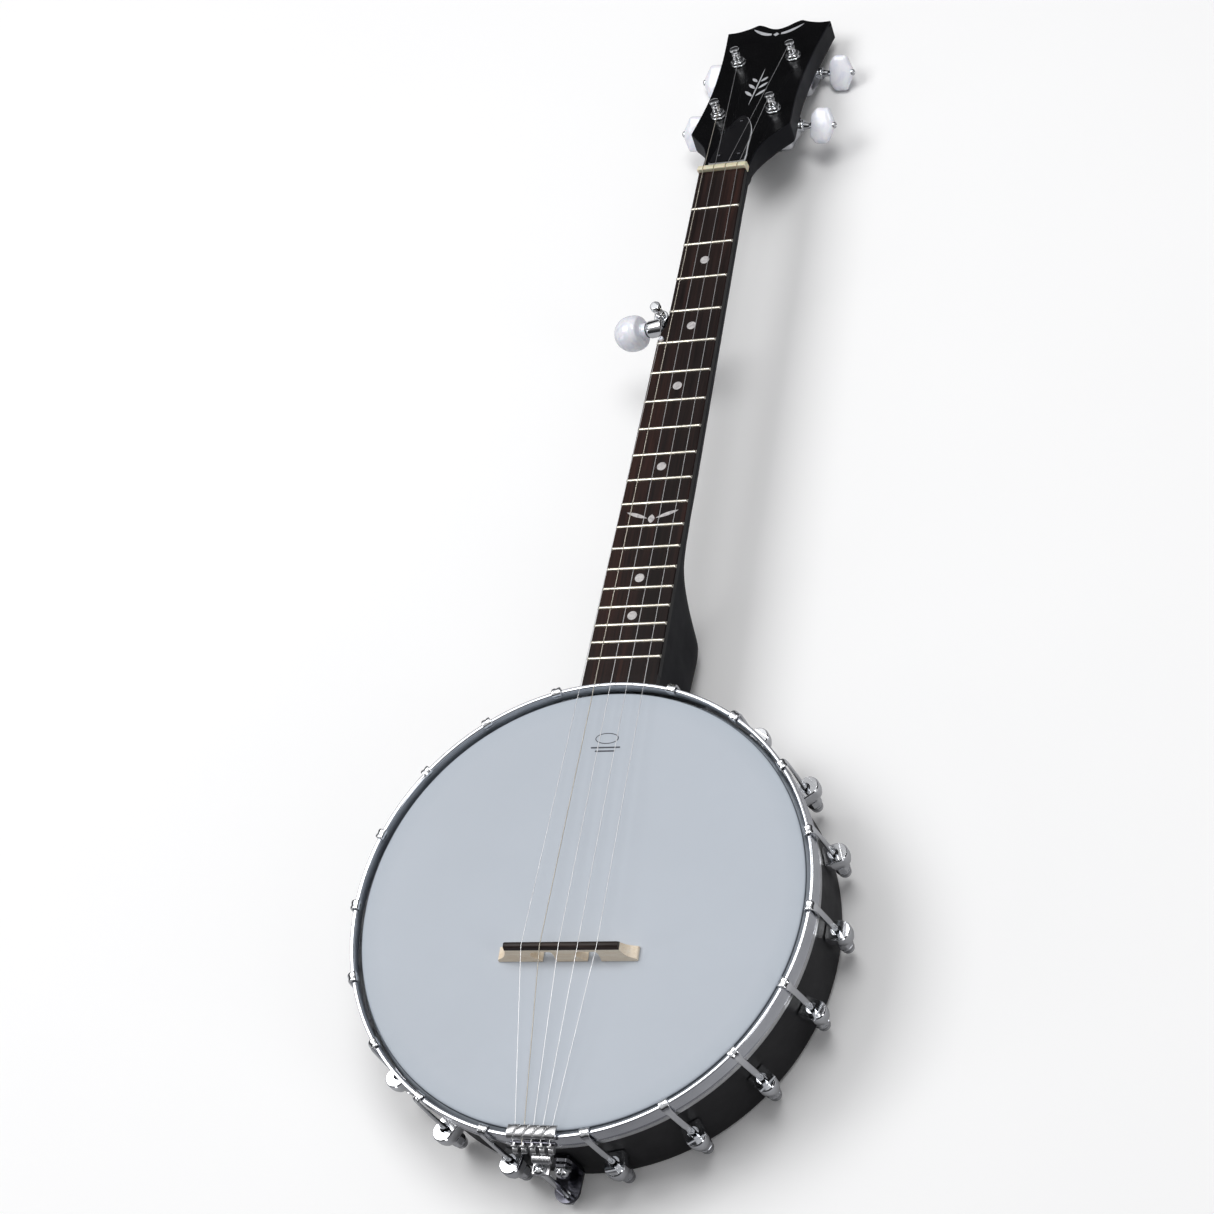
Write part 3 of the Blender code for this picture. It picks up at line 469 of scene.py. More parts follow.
def turned_loop(bm, at, axis, prof, n=48):
    """A hollow turned piece from a closed (along, radius) profile."""
    ax = Vector(axis).normalized()
    side = ax.orthogonal().normalized()
    up = ax.cross(side)
    p = Vector(at)
    rows = []
    for i in range(n):
        a = 2 * math.pi * i / n
        d = side * math.cos(a) + up * math.sin(a)
        rows.append([tuple(p + ax * s + d * r) for s, r in prof])
    return rings(bm, rows, close=True)


def soft(prof, r=0.4, n=3, closed=False):
    """Round the corners of a polyline or polygon."""
    out = []
    m = len(prof)
    for i, p in enumerate(prof):
        if not closed and i in (0, m - 1):
            out.append(tuple(p))
            continue
        p = Vector(p)
        a = Vector(prof[i - 1]) - p
        b = Vector(prof[(i + 1) % m]) - p
        la, lb = a.length, b.length
        if la < 1e-6 or lb < 1e-6:
            continue
        rr = min(r, 0.45 * la, 0.45 * lb)
        s, e = p + a / la * rr, p + b / lb * rr
        for k in range(n + 1):
            t = k / n
            q = s * (1 - t) ** 2 + p * 2 * t * (1 - t) + e * t * t
            out.append(tuple(q))
    return out


def arc(cx, cy, r, a0, a1, n):
    return [(cx + r * math.cos(math.radians(a0 + (a1 - a0) * i / n)), cy + r * math.sin(math.radians(a0 + (a1 - a0) * i / n))) for i in range(n + 1)]


def tube(bm, pts, r, n=10):
    """A round bar along points, its section carried without twist."""
    pts = [Vector(p) for p in pts]
    tan = []
    for i in range(len(pts)):
        a = pts[max(i - 1, 0)]
        b = pts[min(i + 1, len(pts) - 1)]
        tan.append((b - a).normalized())
    side = tan[0].orthogonal().normalized()
    rows = []
    for i, p in enumerate(pts):
        if i:
            side = (side - tan[i] * side.dot(tan[i])).normalized()
        up = tan[i].cross(side)
        rr = r[i] if isinstance(r, (list, tuple)) else r
        rows.append([tuple(p + side * (rr * math.cos(2 * math.pi * k / n)) + up * (rr * math.sin(2 * math.pi * k / n))) for k in range(n)])
    return rings(bm, rows)


def hexagon(r, ph=0.0):
    return [(r * math.cos(ph + math.pi / 3 * i), r * math.sin(ph + math.pi / 3 * i)) for i in range(6)]


def cut(base, tools, op="DIFFERENCE"):
    """Apply Boolean steps to a mesh already in the frame's metres."""
    host = bpy.data.objects.new("host", base)
    bpy.context.scene.collection.objects.link(host)
    helpers = []
    for t in tools:
        h = bpy.data.objects.new("helper", t)
        bpy.context.scene.collection.objects.link(h)
        helpers.append(h)
        m = host.modifiers.new("step", "BOOLEAN")
        m.operation = op
        m.object = h
        m.solver = "EXACT"
    dg = bpy.context.evaluated_depsgraph_get()
    dg.update()
    out = bpy.data.meshes.new_from_object(host.evaluated_get(dg))
    for o in [host] + helpers:
        bpy.data.objects.remove(o, do_unlink=True)
    bm = bmesh.new()
    bm.from_mesh(out)
    bmesh.ops.remove_doubles(bm, verts=bm.verts, dist=3e-6)
    bmesh.ops.dissolve_degenerate(bm, edges=bm.edges, dist=1e-6)
    bm.to_mesh(out)
    bm.free()
    out.materials.clear()
    return out


def made(fn, matrix=None):
    bm = bmesh.new()
    fn(bm)
    return finish_mesh(bm, fn.__name__, matrix)


# -------------------------------------------------------------------- pot
N = 288


def z_ring(prof, n=N):
    bm = bmesh.new()
    rows = []
    for i in range(n):
        a = 2 * math.pi * i / n
        rows.append([(r * math.cos(a), r * math.sin(a), z) for r, z in prof])
    return rings(bm, rows, close=True)


rim_prof = soft([(RIM_R, -12.0), (RIM_R, RIM_BACK), (RIM_IN, RIM_BACK), (RIM_IN, -11.5), (132.5, -6.0), (135.6, -4.5), (136.6, -5.05), (139.1, -10.8)], 1.1, 4, True)
piece("rim_wood", z_ring(rim_prof), M_RIM, node="rim_shell", smooth=50)
hoop_prof = [(HOOP_IN, -HOOP_H + 0.2), (HOOP_IN, -1.5), (HOOP_IN + 0.08, -0.95), (HOOP_IN + 0.3, -0.5), (HOOP_IN + 0.62, -0.25), (HOOP_IN + 1.0, -0.16)]
hoop_prof += [(142.7, -0.12), (143.0, -0.2), (143.2, -0.42), (143.28, -0.8), (143.28, -10.2), (143.4, -10.75), (HOOP_R, -11.0), (HOOP_R, -11.8), (143.45, -HOOP_H), (HOOP_IN + 0.2, -HOOP_H)]
piece("hoop_band", z_ring(hoop_prof), M_HOOP, node="tension_hoop", smooth=50)
piece("flesh_ring", z_ring(soft([(143.3, -12.4), (143.3, -16.4), (140.65, -16.4), (140.65, -12.4)], 0.5, 3, True)), M_ALLOY, node="flesh_hoop", smooth=50)


def head_film(bm):
    radii = [6, 14, 24, 36, 50, 66, 82, 98, 112, 122, 130, 134.5, 136.0, 136.8, 137.35, 137.7, 137.9, 138.05, 140.3, 140.32]
    z_at = {136.0: -0.05, 136.8: -0.25, 137.35: -0.65, 137.7: -1.15, 137.9: -1.75, 138.05: -2.4}

    def sag(r):
        return -0.35 * math.exp(-(r / 60) ** 2)

    top = []
    for i, r in enumerate(radii):
        z = HEAD_Z + z_at.get(r, 0.0) + sag(r)
        if i == 18:
            z = -11.4
        if i == 19:
            z = -16.4
        top.append((r, z))
    bot = [(139.98, -16.4), (139.98, -11.5), (137.6, HEAD_Z - 2.6), (137.3, HEAD_Z - 1.5), (136.9, HEAD_Z - 0.95), (136.2, HEAD_Z - 0.6), (98, HEAD_Z - 0.6), (50, HEAD_Z - 0.85), (6, HEAD_Z - 0.95)]
    prof = top + bot
    n = N
    vr = []
    for i in range(n):
        a = 2 * math.pi * i / n
        vr.append([bm.verts.new((r * math.cos(a), r * math.sin(a), z)) for r, z in prof])
    for k in range(n):
        a, b = vr[k], vr[(k + 1) % n]
        for i in range(len(prof) - 1):
            bm.faces.new((a[i], a[i + 1], b[i + 1], b[i]))
    bm.faces.new([r[0] for r in vr])
    bm.faces.new([r[-1] for r in reversed(vr)])


bm = bmesh.new()
head_film(bm)
piece("film", bm, M_FILM, node="drum_head", smooth=50)


# a plain printed stamp on the film: an open oval over two short bars
def stamp(bm):
    zt = HEAD_Z + 0.03
    cx, cy = -0.2, 106.8
    rows = []
    for i in range(48):
        a = 2 * math.pi * i / 48
        rows.append([(cx + (7.0 + d) * math.cos(a), cy + (3.1 + d) * math.sin(a), zt + h) for d, h in ((0, 0), (0.55, 0), (0.55, 0.05), (0, 0.05))])
    rings(bm, rows, close=True)


bm = bmesh.new()
stamp(bm)
piece("film_stamp_ring", bm, M_INK)
for k, (hw, dy) in enumerate(((9.5, -6.2), (6.5, -8.6))):
    bm = bmesh.new()
    prism(bm, soft([(-0.2 - hw, 106.4 + dy), (-0.2 + hw, 106.4 + dy), (-0.2 + hw, 107.4 + dy), (-0.2 - hw, 107.4 + dy)], 0.45, 3, True), HEAD_Z + 0.03, HEAD_Z + 0.08)
    piece(f"film_stamp_bar_{k + 1}", bm, M_INK)


# ---------------------------------------------------------- hooks and shoes
# Drawn once at angle 0 (radius along +X) in metres, then turned into place.
def local_mesh(fn, name):
    b = bmesh.new()
    fn(b)
    bmesh.ops.remove_doubles(b, verts=b.verts, dist=1e-4)
    bmesh.ops.recalc_face_normals(b, faces=b.faces)
    b.transform(Matrix.Scale(MM, 4))
    me = bpy.data.meshes.new(name)
    b.to_mesh(me)
    b.free()
    return me


def hook_bar(bm):
    path = [(139.98, -2.9, 2.6, 0.30), (139.98, -2.5, 2.85, 0.34), (139.98, -0.6, 2.95, 0.36), (140.02, 0.25, 3.0, 0.42), (140.35, 0.85, 3.02, 0.52), (141.0, 1.18, 3.0, 0.62),
            (142.1, 1.3, 2.95, 0.66), (143.2, 1.22, 2.85, 0.68), (144.2, 0.75, 2.75, 0.70), (144.85, -0.15, 2.6, 0.74), (145.2, -1.4, 2.4, 0.80), (145.35, -3.2, 2.2, 0.88),
            (145.45, -6.0, 2.05, 0.95), (145.6, -12.0, 2.0, 1.02), (145.75, -19.0, 2.0, 1.1), (145.85, -26.0, 2.0, 1.2), (145.95, -30.5, 1.95, 1.35), (146.0, -33.5, 1.95, 1.65), (146.0, -36.0, 1.95, 1.95), (146.0, -49.0, 1.95, 1.95)]
    n = 28
    rows = []
    lean = 146.0 * math.sin(SHOE_TURN)
    pts = [Vector((p[0], lean * min(1, max(0, (-p[1] - 2) / 36.0)), p[1])) for p in path]
    for i, (x, z, w, t) in enumerate(path):
        tan = (pts[min(i + 1, len(pts) - 1)] - pts[max(i - 1, 0)]).normalized()
        out = Vector((tan.z, 0, -tan.x)) * -1.0
        if i < 3:
            out = Vector((-1, 0, 0))
        sq = 2 / (4.0 if i < 16 else 2.0)
        groove = 0.0 if i < 2 else (0.34 if i < 8 else (0.45 if i < 15 else (0.2 if i < 17 else 0.0)))
        row = []
        for k in range(n):
            a = 2 * math.pi * k / n
            y = math.copysign(abs(math.cos(a)) ** sq, math.cos(a)) * w
            h = math.copysign(abs(math.sin(a)) ** sq, math.sin(a)) * t
            if h > 0:
                h -= groove * math.exp(-(y / (0.30 * w)) ** 2)
            row.append(tuple(pts[i] + Vector((0, y, 0)) + out * h))
        rows.append(row)
    rings(bm, rows)


def shoe_block(bm):
    rows = []
    for z, c in ((-50.2, 1.9), (-48.6, 1.0), (-45.4, 0.15), (-43.8, 0.0), (-39.4, 0.0), (-38.6, 0.25), (-38.1, 0.8)):
        w = 6.25 - c
        rows.append([(x, y, z) for x, y in [(140.15, -w)] + arc(154.78 - c - w, 0, w, -90, 90, 24) + [(140.15, w)]])
    rings(bm, rows)


def shoe_slot(bm):
    box(bm, (150.4, -8, -39.3), (151.5, 8, -37))


def shoe_well(bm):
    turned(bm, (146.0, 0, -42.5), (0, 0, 1), [(0, 3.3), (6, 3.3)], 32)


def nut_low(bm):
    prism(bm, hexagon(4.75), -57.8, -50.7)


def nut_cap(bm):
    turned(bm, (146.0, 0, -57.7), (0, 0, -1), [(0, 4.35), (0.5, 4.55), (1.0, 4.35), (1.4, 3.95), (4.9, 3.9), (6.1, 3.6), (6.9, 2.9), (7.35, 1.8), (7.5, 0.6)], 40)


def washer_top(bm):
    turned(bm, (146.0, 0, -50.25), (0, 0, -1), [(0, 4.9), (0.45, 4.9)], 40)


def bolt_inside(bm):
    turned(bm, (128.0, 0, -44.0), (-1, 0, 0), [(-13.5, 1.9), (0.1, 1.9), (0.1, 5.0), (0.9, 5.0), (0.9, 3.0)], 40)


def bolt_hex(bm):
    b2 = [(125.9, 0), (124.7, 0)]
    rings(bm, [[(126.95, y, z - 44.0) for y, z in hexagon(4.0)], [(124.9, y, z - 44.0) for y, z in hexagon(4.0)]])


hook_me = local_mesh(hook_bar, "hook")
shoe_me = cut(local_mesh(shoe_block, "shoe"), [local_mesh(shoe_slot, "s"), local_mesh(shoe_well, "w")])
nut_me = local_mesh(lambda b: prism(b, [(146.0 + x, y) for x, y in hexagon(4.75)], -57.8, -50.75), "nut")
cap_me = local_mesh(nut_cap, "nut_cap")
washer_me = local_mesh(washer_top, "washer")
bolt_me = local_mesh(bolt_inside, "bolt")
hex_me = local_mesh(bolt_hex, "bolt_hex")
for i, a in enumerate(HOOKS):
    M = LIE @ Matrix.Rotation(math.radians(a), 4, "Z")
    S = LIE @ Matrix.Rotation(math.radians(a) + SHOE_TURN, 4, "Z")
    k = f"{i + 1:02d}"
    piece(f"hook_{k}", hook_me, M_CHROME, node=f"bracket_{k}", smooth=60, obj_matrix=M)
    piece(f"shoe_{k}", shoe_me, M_CHROME, bevel=0.3, seg=2, obj_matrix=S)
    piece(f"hook_nut_{k}", nut_me, M_CHROME, bevel=0.5, seg=2, obj_matrix=S)
    piece(f"hook_nut_end_{k}", cap_me, M_CHROME, smooth=60, obj_matrix=S)
    piece(f"hook_washer_{k}", washer_me, M_CHROME, obj_matrix=S)
    piece(f"shoe_bolt_{k}", bolt_me, M_STEEL, obj_matrix=S)
    piece(f"shoe_bolt_head_{k}", hex_me, M_STEEL, bevel=0.4, obj_matrix=S)


# -------------------------------------------------------------------- neck
def neck_depth(y):
    keys = [(132, 57.2), (150, 56.2), (165, 55.9), (180, 55.4), (190, 53.8), (199, 50.0), (208, 44.6), (218, 37.6), (229, 30.4), (241, 24.4), (256, 20.0), (275, 17.4), (300, 16.6), (400, 15.4), (525, 14.2)]
    return float(np.interp(y, [k[0] for k in keys], [k[1] for k in keys]))


def section(w_l, w_r, depth, power, n=72):
    """Half-round to nearly square section: points from right edge, round the back, to left edge."""
    out = []
    for i in range(n + 1):
        t = math.pi * i / n
        c, s = math.cos(t), math.sin(t)
        w = w_r if c >= 0 else w_l
        den = (abs(c) / w) ** power + (abs(s) / depth) ** power
        r = den ** (-1 / power)
        out.append((r * c, -r * s))
    return out


def smooth_keys(x, xs, ys):
    """Cubic interpolation that never overshoots its keys."""
    xs, ys = np.asarray(xs, float), np.asarray(ys, float)
    i = int(np.clip(np.searchsorted(xs, x) - 1, 0, len(xs) - 2))
    h = np.diff(xs)
    d = np.diff(ys) / h
    m = np.zeros(len(xs))
    for k in range(1, len(xs) - 1):
        m[k] = 0 if d[k - 1] * d[k] <= 0 else 2 * d[k - 1] * d[k] / (d[k - 1] + d[k])
    m[0], m[-1] = d[0], d[-1]
    t = min(max((x - xs[i]) / h[i], 0), 1)
    return float(ys[i] * (2 * t ** 3 - 3 * t ** 2 + 1) + h[i] * m[i] * (t ** 3 - 2 * t ** 2 + t) + ys[i + 1] * (-2 * t ** 3 + 3 * t ** 2) + h[i] * m[i + 1] * (t ** 3 - t ** 2))


DEPTH_Y = [132, 150, 160, 172, 186, 196, 203, 210, 217, 224, 232, 242, 258, 280, 330, 400, 525]
DEPTH_V = [57.2, 57.2, 57.8, 59.0, 60.2, 60.8, 59.5, 54.0, 45.0, 36.0, 28.0, 22.6, 18.6, 16.8, 16.2, 15.4, 14.2]
HALF_U = [1.9, 9, 15, 20, 25, 30, 35, 40, 44.5, 48.8, 56, 66, 80, 95, 108, 122, 140, 158, 176.3, 190]
HALF_W = [17.4, 17.9, 18.2, 19.2, 20.8, 23.0, 26.2, 30.0, 33.6, 36.4, 35.8, 34.8, 33.7, 33.1, 33.2, 33.8, 35.0, 36.9, 39.2, 41.0]


def neck_body(bm):
    rows = []
    ys = list(np.arange(130, 300, 3.0)) + list(np.arange(300, 402, 10.0)) + list(np.arange(404, 426, 1.0)) + list(np.arange(428, 520, 8.0))
    for y in ys:
        zt = board_z(y) - BOARD_T - 0.06
        k = smooth_keys(y, [130, 155, 170, 200, 218, 240, 262, 300, 600], [0.93, 0.93, 0.975, 0.985, 0.94, 0.93, 0.97, 1.0, 1.0])
        p = smooth_keys(y, [130, 155, 170, 200, 212, 240, 285, 600], [4.6, 4.8, 6.5, 7.0, 4.6, 2.7, 2.25, 2.25])
        wl, wr = left_w(y), right_w(y)
        d = smooth_keys(y, DEPTH_Y, DEPTH_V)
        sec = section(wl * k, wr * k, d, p)
        top_l, top_r = -wl * k, wr * k
        rows.append([(top_l + 0.4, y, zt), (top_r - 0.4, y, zt)] + [(x, y, zt - 0.4 + z) for x, z in sec])
    # swing from the neck's planes to the headstock's
    for u in [-24, -17, -11, -6.5, -3.9]:
        y = FACE_Y + u * math.cos(HEAD_TILT)
        zt = board_z(min(y, NUT_Y)) - BOARD_T - 0.1
        tilt = HEAD_TILT * min(1, max(0, (u + 34) / 42))
        d = float(np.interp(u, [-34, 4], [14.3, 17.2]))
        sec = section(left_w(min(y, NUT_Y)), right_w(min(y, NUT_Y)), d, 2.3)
        row = []
        for x, z in [(-left_w(min(y, NUT_Y)) + 0.4, 0), (right_w(min(y, NUT_Y)) - 0.4, 0)] + [(x, z - 0.4) for x, z in sec]:
            row.append((x, y + z * math.sin(tilt), zt + z * math.cos(tilt)))
        rows.append(row)
    first = True
    for u in [1.35, 1.9, 4, 6.5, 9, 12, 15, 18, 20.5, 23, 25.5, 28, 30.5, 33, 35.5, 38, 40.2, 42.4, 44.5, 46.4, 47.8, 48.6, 49.1, 50.2, 53, 58, 64, 70, 80, 90, 100, 110, 120, 130, 140, 150, 160, 170, 176.3, 186]:
        w = smooth_keys(u, HALF_U, HALF_W)
        if 47.5 < u < 50:
            w -= 0.0
        d = smooth_keys(u, [-4, 6, 16, 24, 32, 38, 43, 49, 60, 200], [17.0, 18.4, 19.2, 19.4, 18.8, 17.8, 16.8, 16.15, 16.0, 16.0])
        p = smooth_keys(u, [0, 8, 16, 24, 32, 38, 43, 47, 60, 200], [2.4, 2.6, 3.0, 3.7, 5.0, 7.0, 10.0, 16.0, 22.0, 22.0])
        h0 = -1.75 if first else 0.0
        first = False
        sec = section(w, w, d, p)
        c = 0.55
        rows.append([face_point(u, -w + c, h0), face_point(u, w - c, h0)] + [face_point(u, x, h0 - c + z * (d - c) / d) for x, z in sec])
    rings(bm, rows)


TOP_EDGE = [(60, 176.3), (39.2, 176.3), (34.0, 176.2), (31.5, 176.5), (30.0, 176.8), (26.8, 177.8), (23.0, 179.2), (19.4, 181.2), (17.2, 182.45), (16.0, 182.6), (14.9, 182.2), (12.8, 181.2), (10.4, 179.5), (8.6, 178.1), (6.6, 176.7), (4.2, 175.4), (2.0, 174.6), (0.0, 174.4)]


def top_cutter(bm):
    pts = TOP_EDGE + [(-x, u) for x, u in reversed(TOP_EDGE[:-1])] + [(-60, 210), (60, 210)]
    rings(bm, [[face_point(u, x, h) for x, u in pts] for h in (-30, 8)])


def pot_cutter(bm):
    turned(bm, (0, 0, -80), (0, 0, 1), [(0, RIM_R + 0.12), (63.4, RIM_R + 0.12), (63.4, HOOP_R + 0.25), (100, HOOP_R + 0.25)], 240)


neck_me = cut(made(neck_body), [made(top_cutter), made(pot_cutter)])
neck_ob = piece("neck_wood", neck_me, M_NECK, node="neck", bevel=0.35, seg=2, angle=38)
# the headstock's front face is glossy, the rest of the neck satin
neck_me.materials.append(M_FACE)
face_n = (LIE.to_3x3() @ Vector((0, math.sin(HEAD_TILT), math.cos(HEAD_TILT)))).normalized()
face_c = LIE @ (Vector(face_point(3.0, 0, 0)) * MM)
up_n = (LIE.to_3x3() @ Vector((0, math.cos(HEAD_TILT), -math.sin(HEAD_TILT)))).normalized()
for f in neck_me.polygons:
    c = f.center - face_c
    if f.normal.dot(face_n) > 0.85 and c.dot(up_n) > -0.002 and abs(c.dot(face_n)) < 0.0006:
        f.material_index = 1


# -------------------------------------------------------------- fingerboard
def board_body(bm):
    ys = list(np.linspace(150.5, 400, 26)) + list(np.arange(404, 424, 1.0)) + list(np.linspace(428, NUT_Y - 0.05, 12))
    rows = []
    for y in ys:
        z = board_z(y)
        l, r = left_w(y), right_w(y)
        c = 0.45
        rows.append([(-l, y, z - c), (-l + c, y, z), (r - c, y, z), (r, y, z - c), (r, y, z - BOARD_T), (-l, y, z - BOARD_T)])
    rings(bm, rows)


def board_end(bm):
    xs = np.linspace(-24.3, 24.35, 33)
    pts = [(x, math.sqrt((HOOP_R + 0.45) ** 2 - x * x)) for x in xs] + [(24.35, 150.8), (-24.3, 150.8)]
    zt, zb = board_z(148.0), board_z(148.0) - BOARD_T
    prism(bm, pts, zb + 0.02, zt)


board_me = cut(made(board_body), [made(board_end)], "UNION")
piece("board_wood", board_me, M_ROSE, node="fretboard", smooth=30)
board_me.materials.append(M_BINDING)
for f in board_me.polygons:
    if abs(f.normal.x) > 0.8:
        f.material_index = 1

for n in range(1, 20):
    y = fret_y(n)
    l, r, z = left_w(y) - 0.05, right_w(y) - 0.05, board_z(y)
    prof = [(-1.15, -0.5), (1.15, -0.5), (1.15, 0.12), (0.95, 0.55), (0.6, 0.88), (0.0, 1.0), (-0.6, 0.88), (-0.95, 0.55), (-1.15, 0.12)]
    rows = []
    for x, k in ((-l, 0.0), (-l + 0.5, 0.7), (-l + 1.0, 1.0), (r - 1.0, 1.0), (r - 0.5, 0.7), (r, 0.0)):
        rows.append([(x, y + a, z + (b if b < 0.2 else 0.12 + (b - 0.12) * k + 0.02)) for a, b in prof])
    bm = bmesh.new()
    rings(bm, rows)
    piece(f"fret_{n:02d}", bm, M_FRET, smooth=50)

for n in (3, 5, 7, 10, 15, 17):
    y = (fret_y(n) + fret_y(n - 1)) / 2
    x = (right_w(y) - left_w(y)) / 2
    bm = bmesh.new()
    turned(bm, (x, y, board_z(y) - 0.4), (0, -SLOPE, 1), [(0, 3.1), (0.46, 3.1), (0.5, 2.9)], 40)
    piece(f"dot_{n:02d}", bm, M_DOT)


def leaf(cx, cy, ang, length, width, n=10):
    """A slim pointed inlay shape."""
    pts = []
    for s in (1, -1):
        for i in range(n):
            t = i / n if s > 0 else 1 - i / n
            px = length * (t - 0.5)
            py = s * width * math.sin(math.pi * t) ** 0.8 / 2
            pts.append((cx + px * math.cos(ang) - py * math.sin(ang), cy + px * math.sin(ang) + py * math.cos(ang)))
    return pts


# twelfth-fret inlay: a plain diamond between two slim tapered bars
y12 = (fret_y(12) + fret_y(11)) / 2 - 1.0
x12 = (right_w(y12) - left_w(y12)) / 2
for k, pts in enumerate((leaf(x12, y12 - 2.4, math.pi / 2, 6.4, 4.4, 8), leaf(x12 + 10.2, y12 + 0.6, 0.34, 15.5, 2.6), leaf(x12 - 10.2, y12 + 0.6, math.pi - 0.34, 15.5, 2.6))):
    bm = bmesh.new()
    rings(bm, [[(x, y, board_z(y) + h) for x, y in pts] for h in (-0.4, 0.05)])
    piece(f"inlay_12_{k + 1}", bm, M_DOT)


# ------------------------------------------------------------ nut and pip
def nut_block(bm):
    y0 = NUT_Y + 0.12
    prof = soft([(y0, -22.5), (y0 + 5.1, -22.5), (y0 + 5.1, -17.3), (y0 + 4.0, -15.3), (y0 + 1.0, -14.45), (y0, -14.8)], 0.6, 3, True)
    rows = []
    xs = [-15.65, -15.35, -14.6]
    slots = [NUT_X[s] for s in (4, 3, 2, 1)]
    for sx in slots:
        xs += [sx - 0.75, sx - 0.37, sx - 0.35, sx + 0.35, sx + 0.37, sx + 0.75]
    xs += [17.8, 18.55, 18.85]
    for x in sorted(xs):
        cutz = 1.6 if any(abs(x - s) < 0.36 for s in slots) else 0.0
        e = min(x + 15.65, 18.85 - x)
        dz = 0.5 * (1 - min(e / 1.0, 1)) ** 2
        rows.append([(x, y, z - ((cutz + dz) if z > -17 else 0)) for y, z in prof])
    rings(bm, rows)


bm = bmesh.new()
nut_block(bm)
piece("nut_block", bm, M_BONE, node="string_nut", smooth=40)

bm = bmesh.new()
zp = board_z(406.6)
turned(bm, (-17.9, 406.6, zp - 0.2), (0, 0, 1), [(0, 1.75), (1.5, 1.75), (2.0, 1.6), (2.3, 1.2), (2.42, 0.6)], 32)
piece("pip", bm, M_PEARL, node="fifth_string_nut", smooth=60)

# ------------------------------------------------- headstock face ornaments
COVER = [(7.0, 13.2), (12, 13.1), (20, 12.2), (28, 11.4), (36, 11.0), (43, 10.1), (49, 8.5), (54, 6.5), (58, 4.5), (61, 2.5), (62.6, 0.0)]


def cover_outline(inset):
    xs = []
    dense = [(u, smooth_keys(u, [c[0] for c in COVER], [c[1] for c in COVER])) for u in np.linspace(7.0, 62.6, 40)]
    right = [(max(w - inset, 0.0), u) for u, w in dense]
    right[0] = (right[0][0], 7.0 + inset * 0.02)
    right[-1] = (0.0, 62.6 - inset * 1.4)
    return right + [(-x, u) for x, u in reversed(right[:-1])]


fm = face_matrix(0, 0, 0)
bm = bmesh.new()
o0, o1 = cover_outline(0.0), cover_outline(0.45)
rings(bm, [[(x, u, 0.05) for x, u in o0], [(x, u, 0.85) for x, u in o0], [(x, u, 1.35) for x, u in o1]])
piece("rod_cover_white_ply", finish_mesh(bm, "ply", fm), M_PLYW, node="truss_rod_cover", smooth=30)
bm = bmesh.new()
o2 = cover_outline(0.85)
rings(bm, [[(x, u, 1.36) for x, u in o1], [(x, u, 2.05) for x, u in o2]])
piece("rod_cover_black_ply", finish_mesh(bm, "ply", fm), M_COVER, smooth=30)
for k, (u, w) in enumerate(((59.0, 0.0), (15.5, 7.2), (15.5, -7.2))):
    bm = bmesh.new()
    u2 = u - (3.2 if k == 0 else 0)
    turned(bm, (w, u2, 1.95), (0, 0, 1), [(0, 1.9), (0.25, 1.9), (0.6, 1.6), (0.85, 0.9), (0.9, 0.2)], 28)
    s_me = finish_mesh(bm, "screw", fm)
    sl = bmesh.new()
    box(sl, (w - 1.1, u2 - 0.17, 2.45), (w + 1.1, u2 + 0.17, 4))
    sl2 = bmesh.new()
    box(sl2, (w - 0.17, u2 - 1.1, 2.45), (w + 0.17, u2 + 1.1, 4))
    s_me = cut(s_me, [finish_mesh(sl, "slot", fm), finish_mesh(sl2, "slot", fm)])
    piece(f"cover_screw_{k + 1}", s_me, M_SCREW, smooth=40)


def inlay(name, pts, h1=0.06, mat=None):
    b = bmesh.new()
    rings(b, [[(x, u, -0.4) for x, u in pts], [(x, u, h1) for x, u in pts]])
    return piece(name, finish_mesh(b, name, fm), mat or M_SILVER, smooth=30)


# a plain band that follows the scoop, with a small diamond in its middle
for s in (1, -1):
    up, dn = [], []
    for i in range(15):
        t = i / 14
        x = 3.6 + 15.6 * t
        mid = 167.9 + 9.6 * t ** 1.7
        hw = 1.75 * math.sin(math.pi * (0.12 + 0.88 * t)) ** 0.6 + 0.05 if t < 1 else 0.05
        up.append((s * x, mid + hw))
        dn.append((s * x, mid - hw))
    inlay(f"scoop_band_{'r' if s > 0 else 'l'}", up + dn[::-1])
inlay("scoop_diamond", [(0, 164.9), (2.2, 167.4), (0, 169.9), (-2.2, 167.4)])

# a plain sprig: one slim stem with three pairs of leaves
inlay("sprig_stem", leaf(0.6, 100.0, math.pi / 2 - 0.05, 46.0, 1.0, 12))
for k, (u, L) in enumerate(((88.0, 10.5), (97.5, 9.0), (106.0, 7.0))):
    for s in (1, -1):
        a = math.pi / 2 - s * 0.72
        inlay(f"sprig_leaf_{k + 1}{'r' if s > 0 else 'l'}", leaf(0.7 + s * (1.2 + L / 2 * math.sin(0.72)), u + L / 2 * math.cos(0.72), a, L, 2.5))

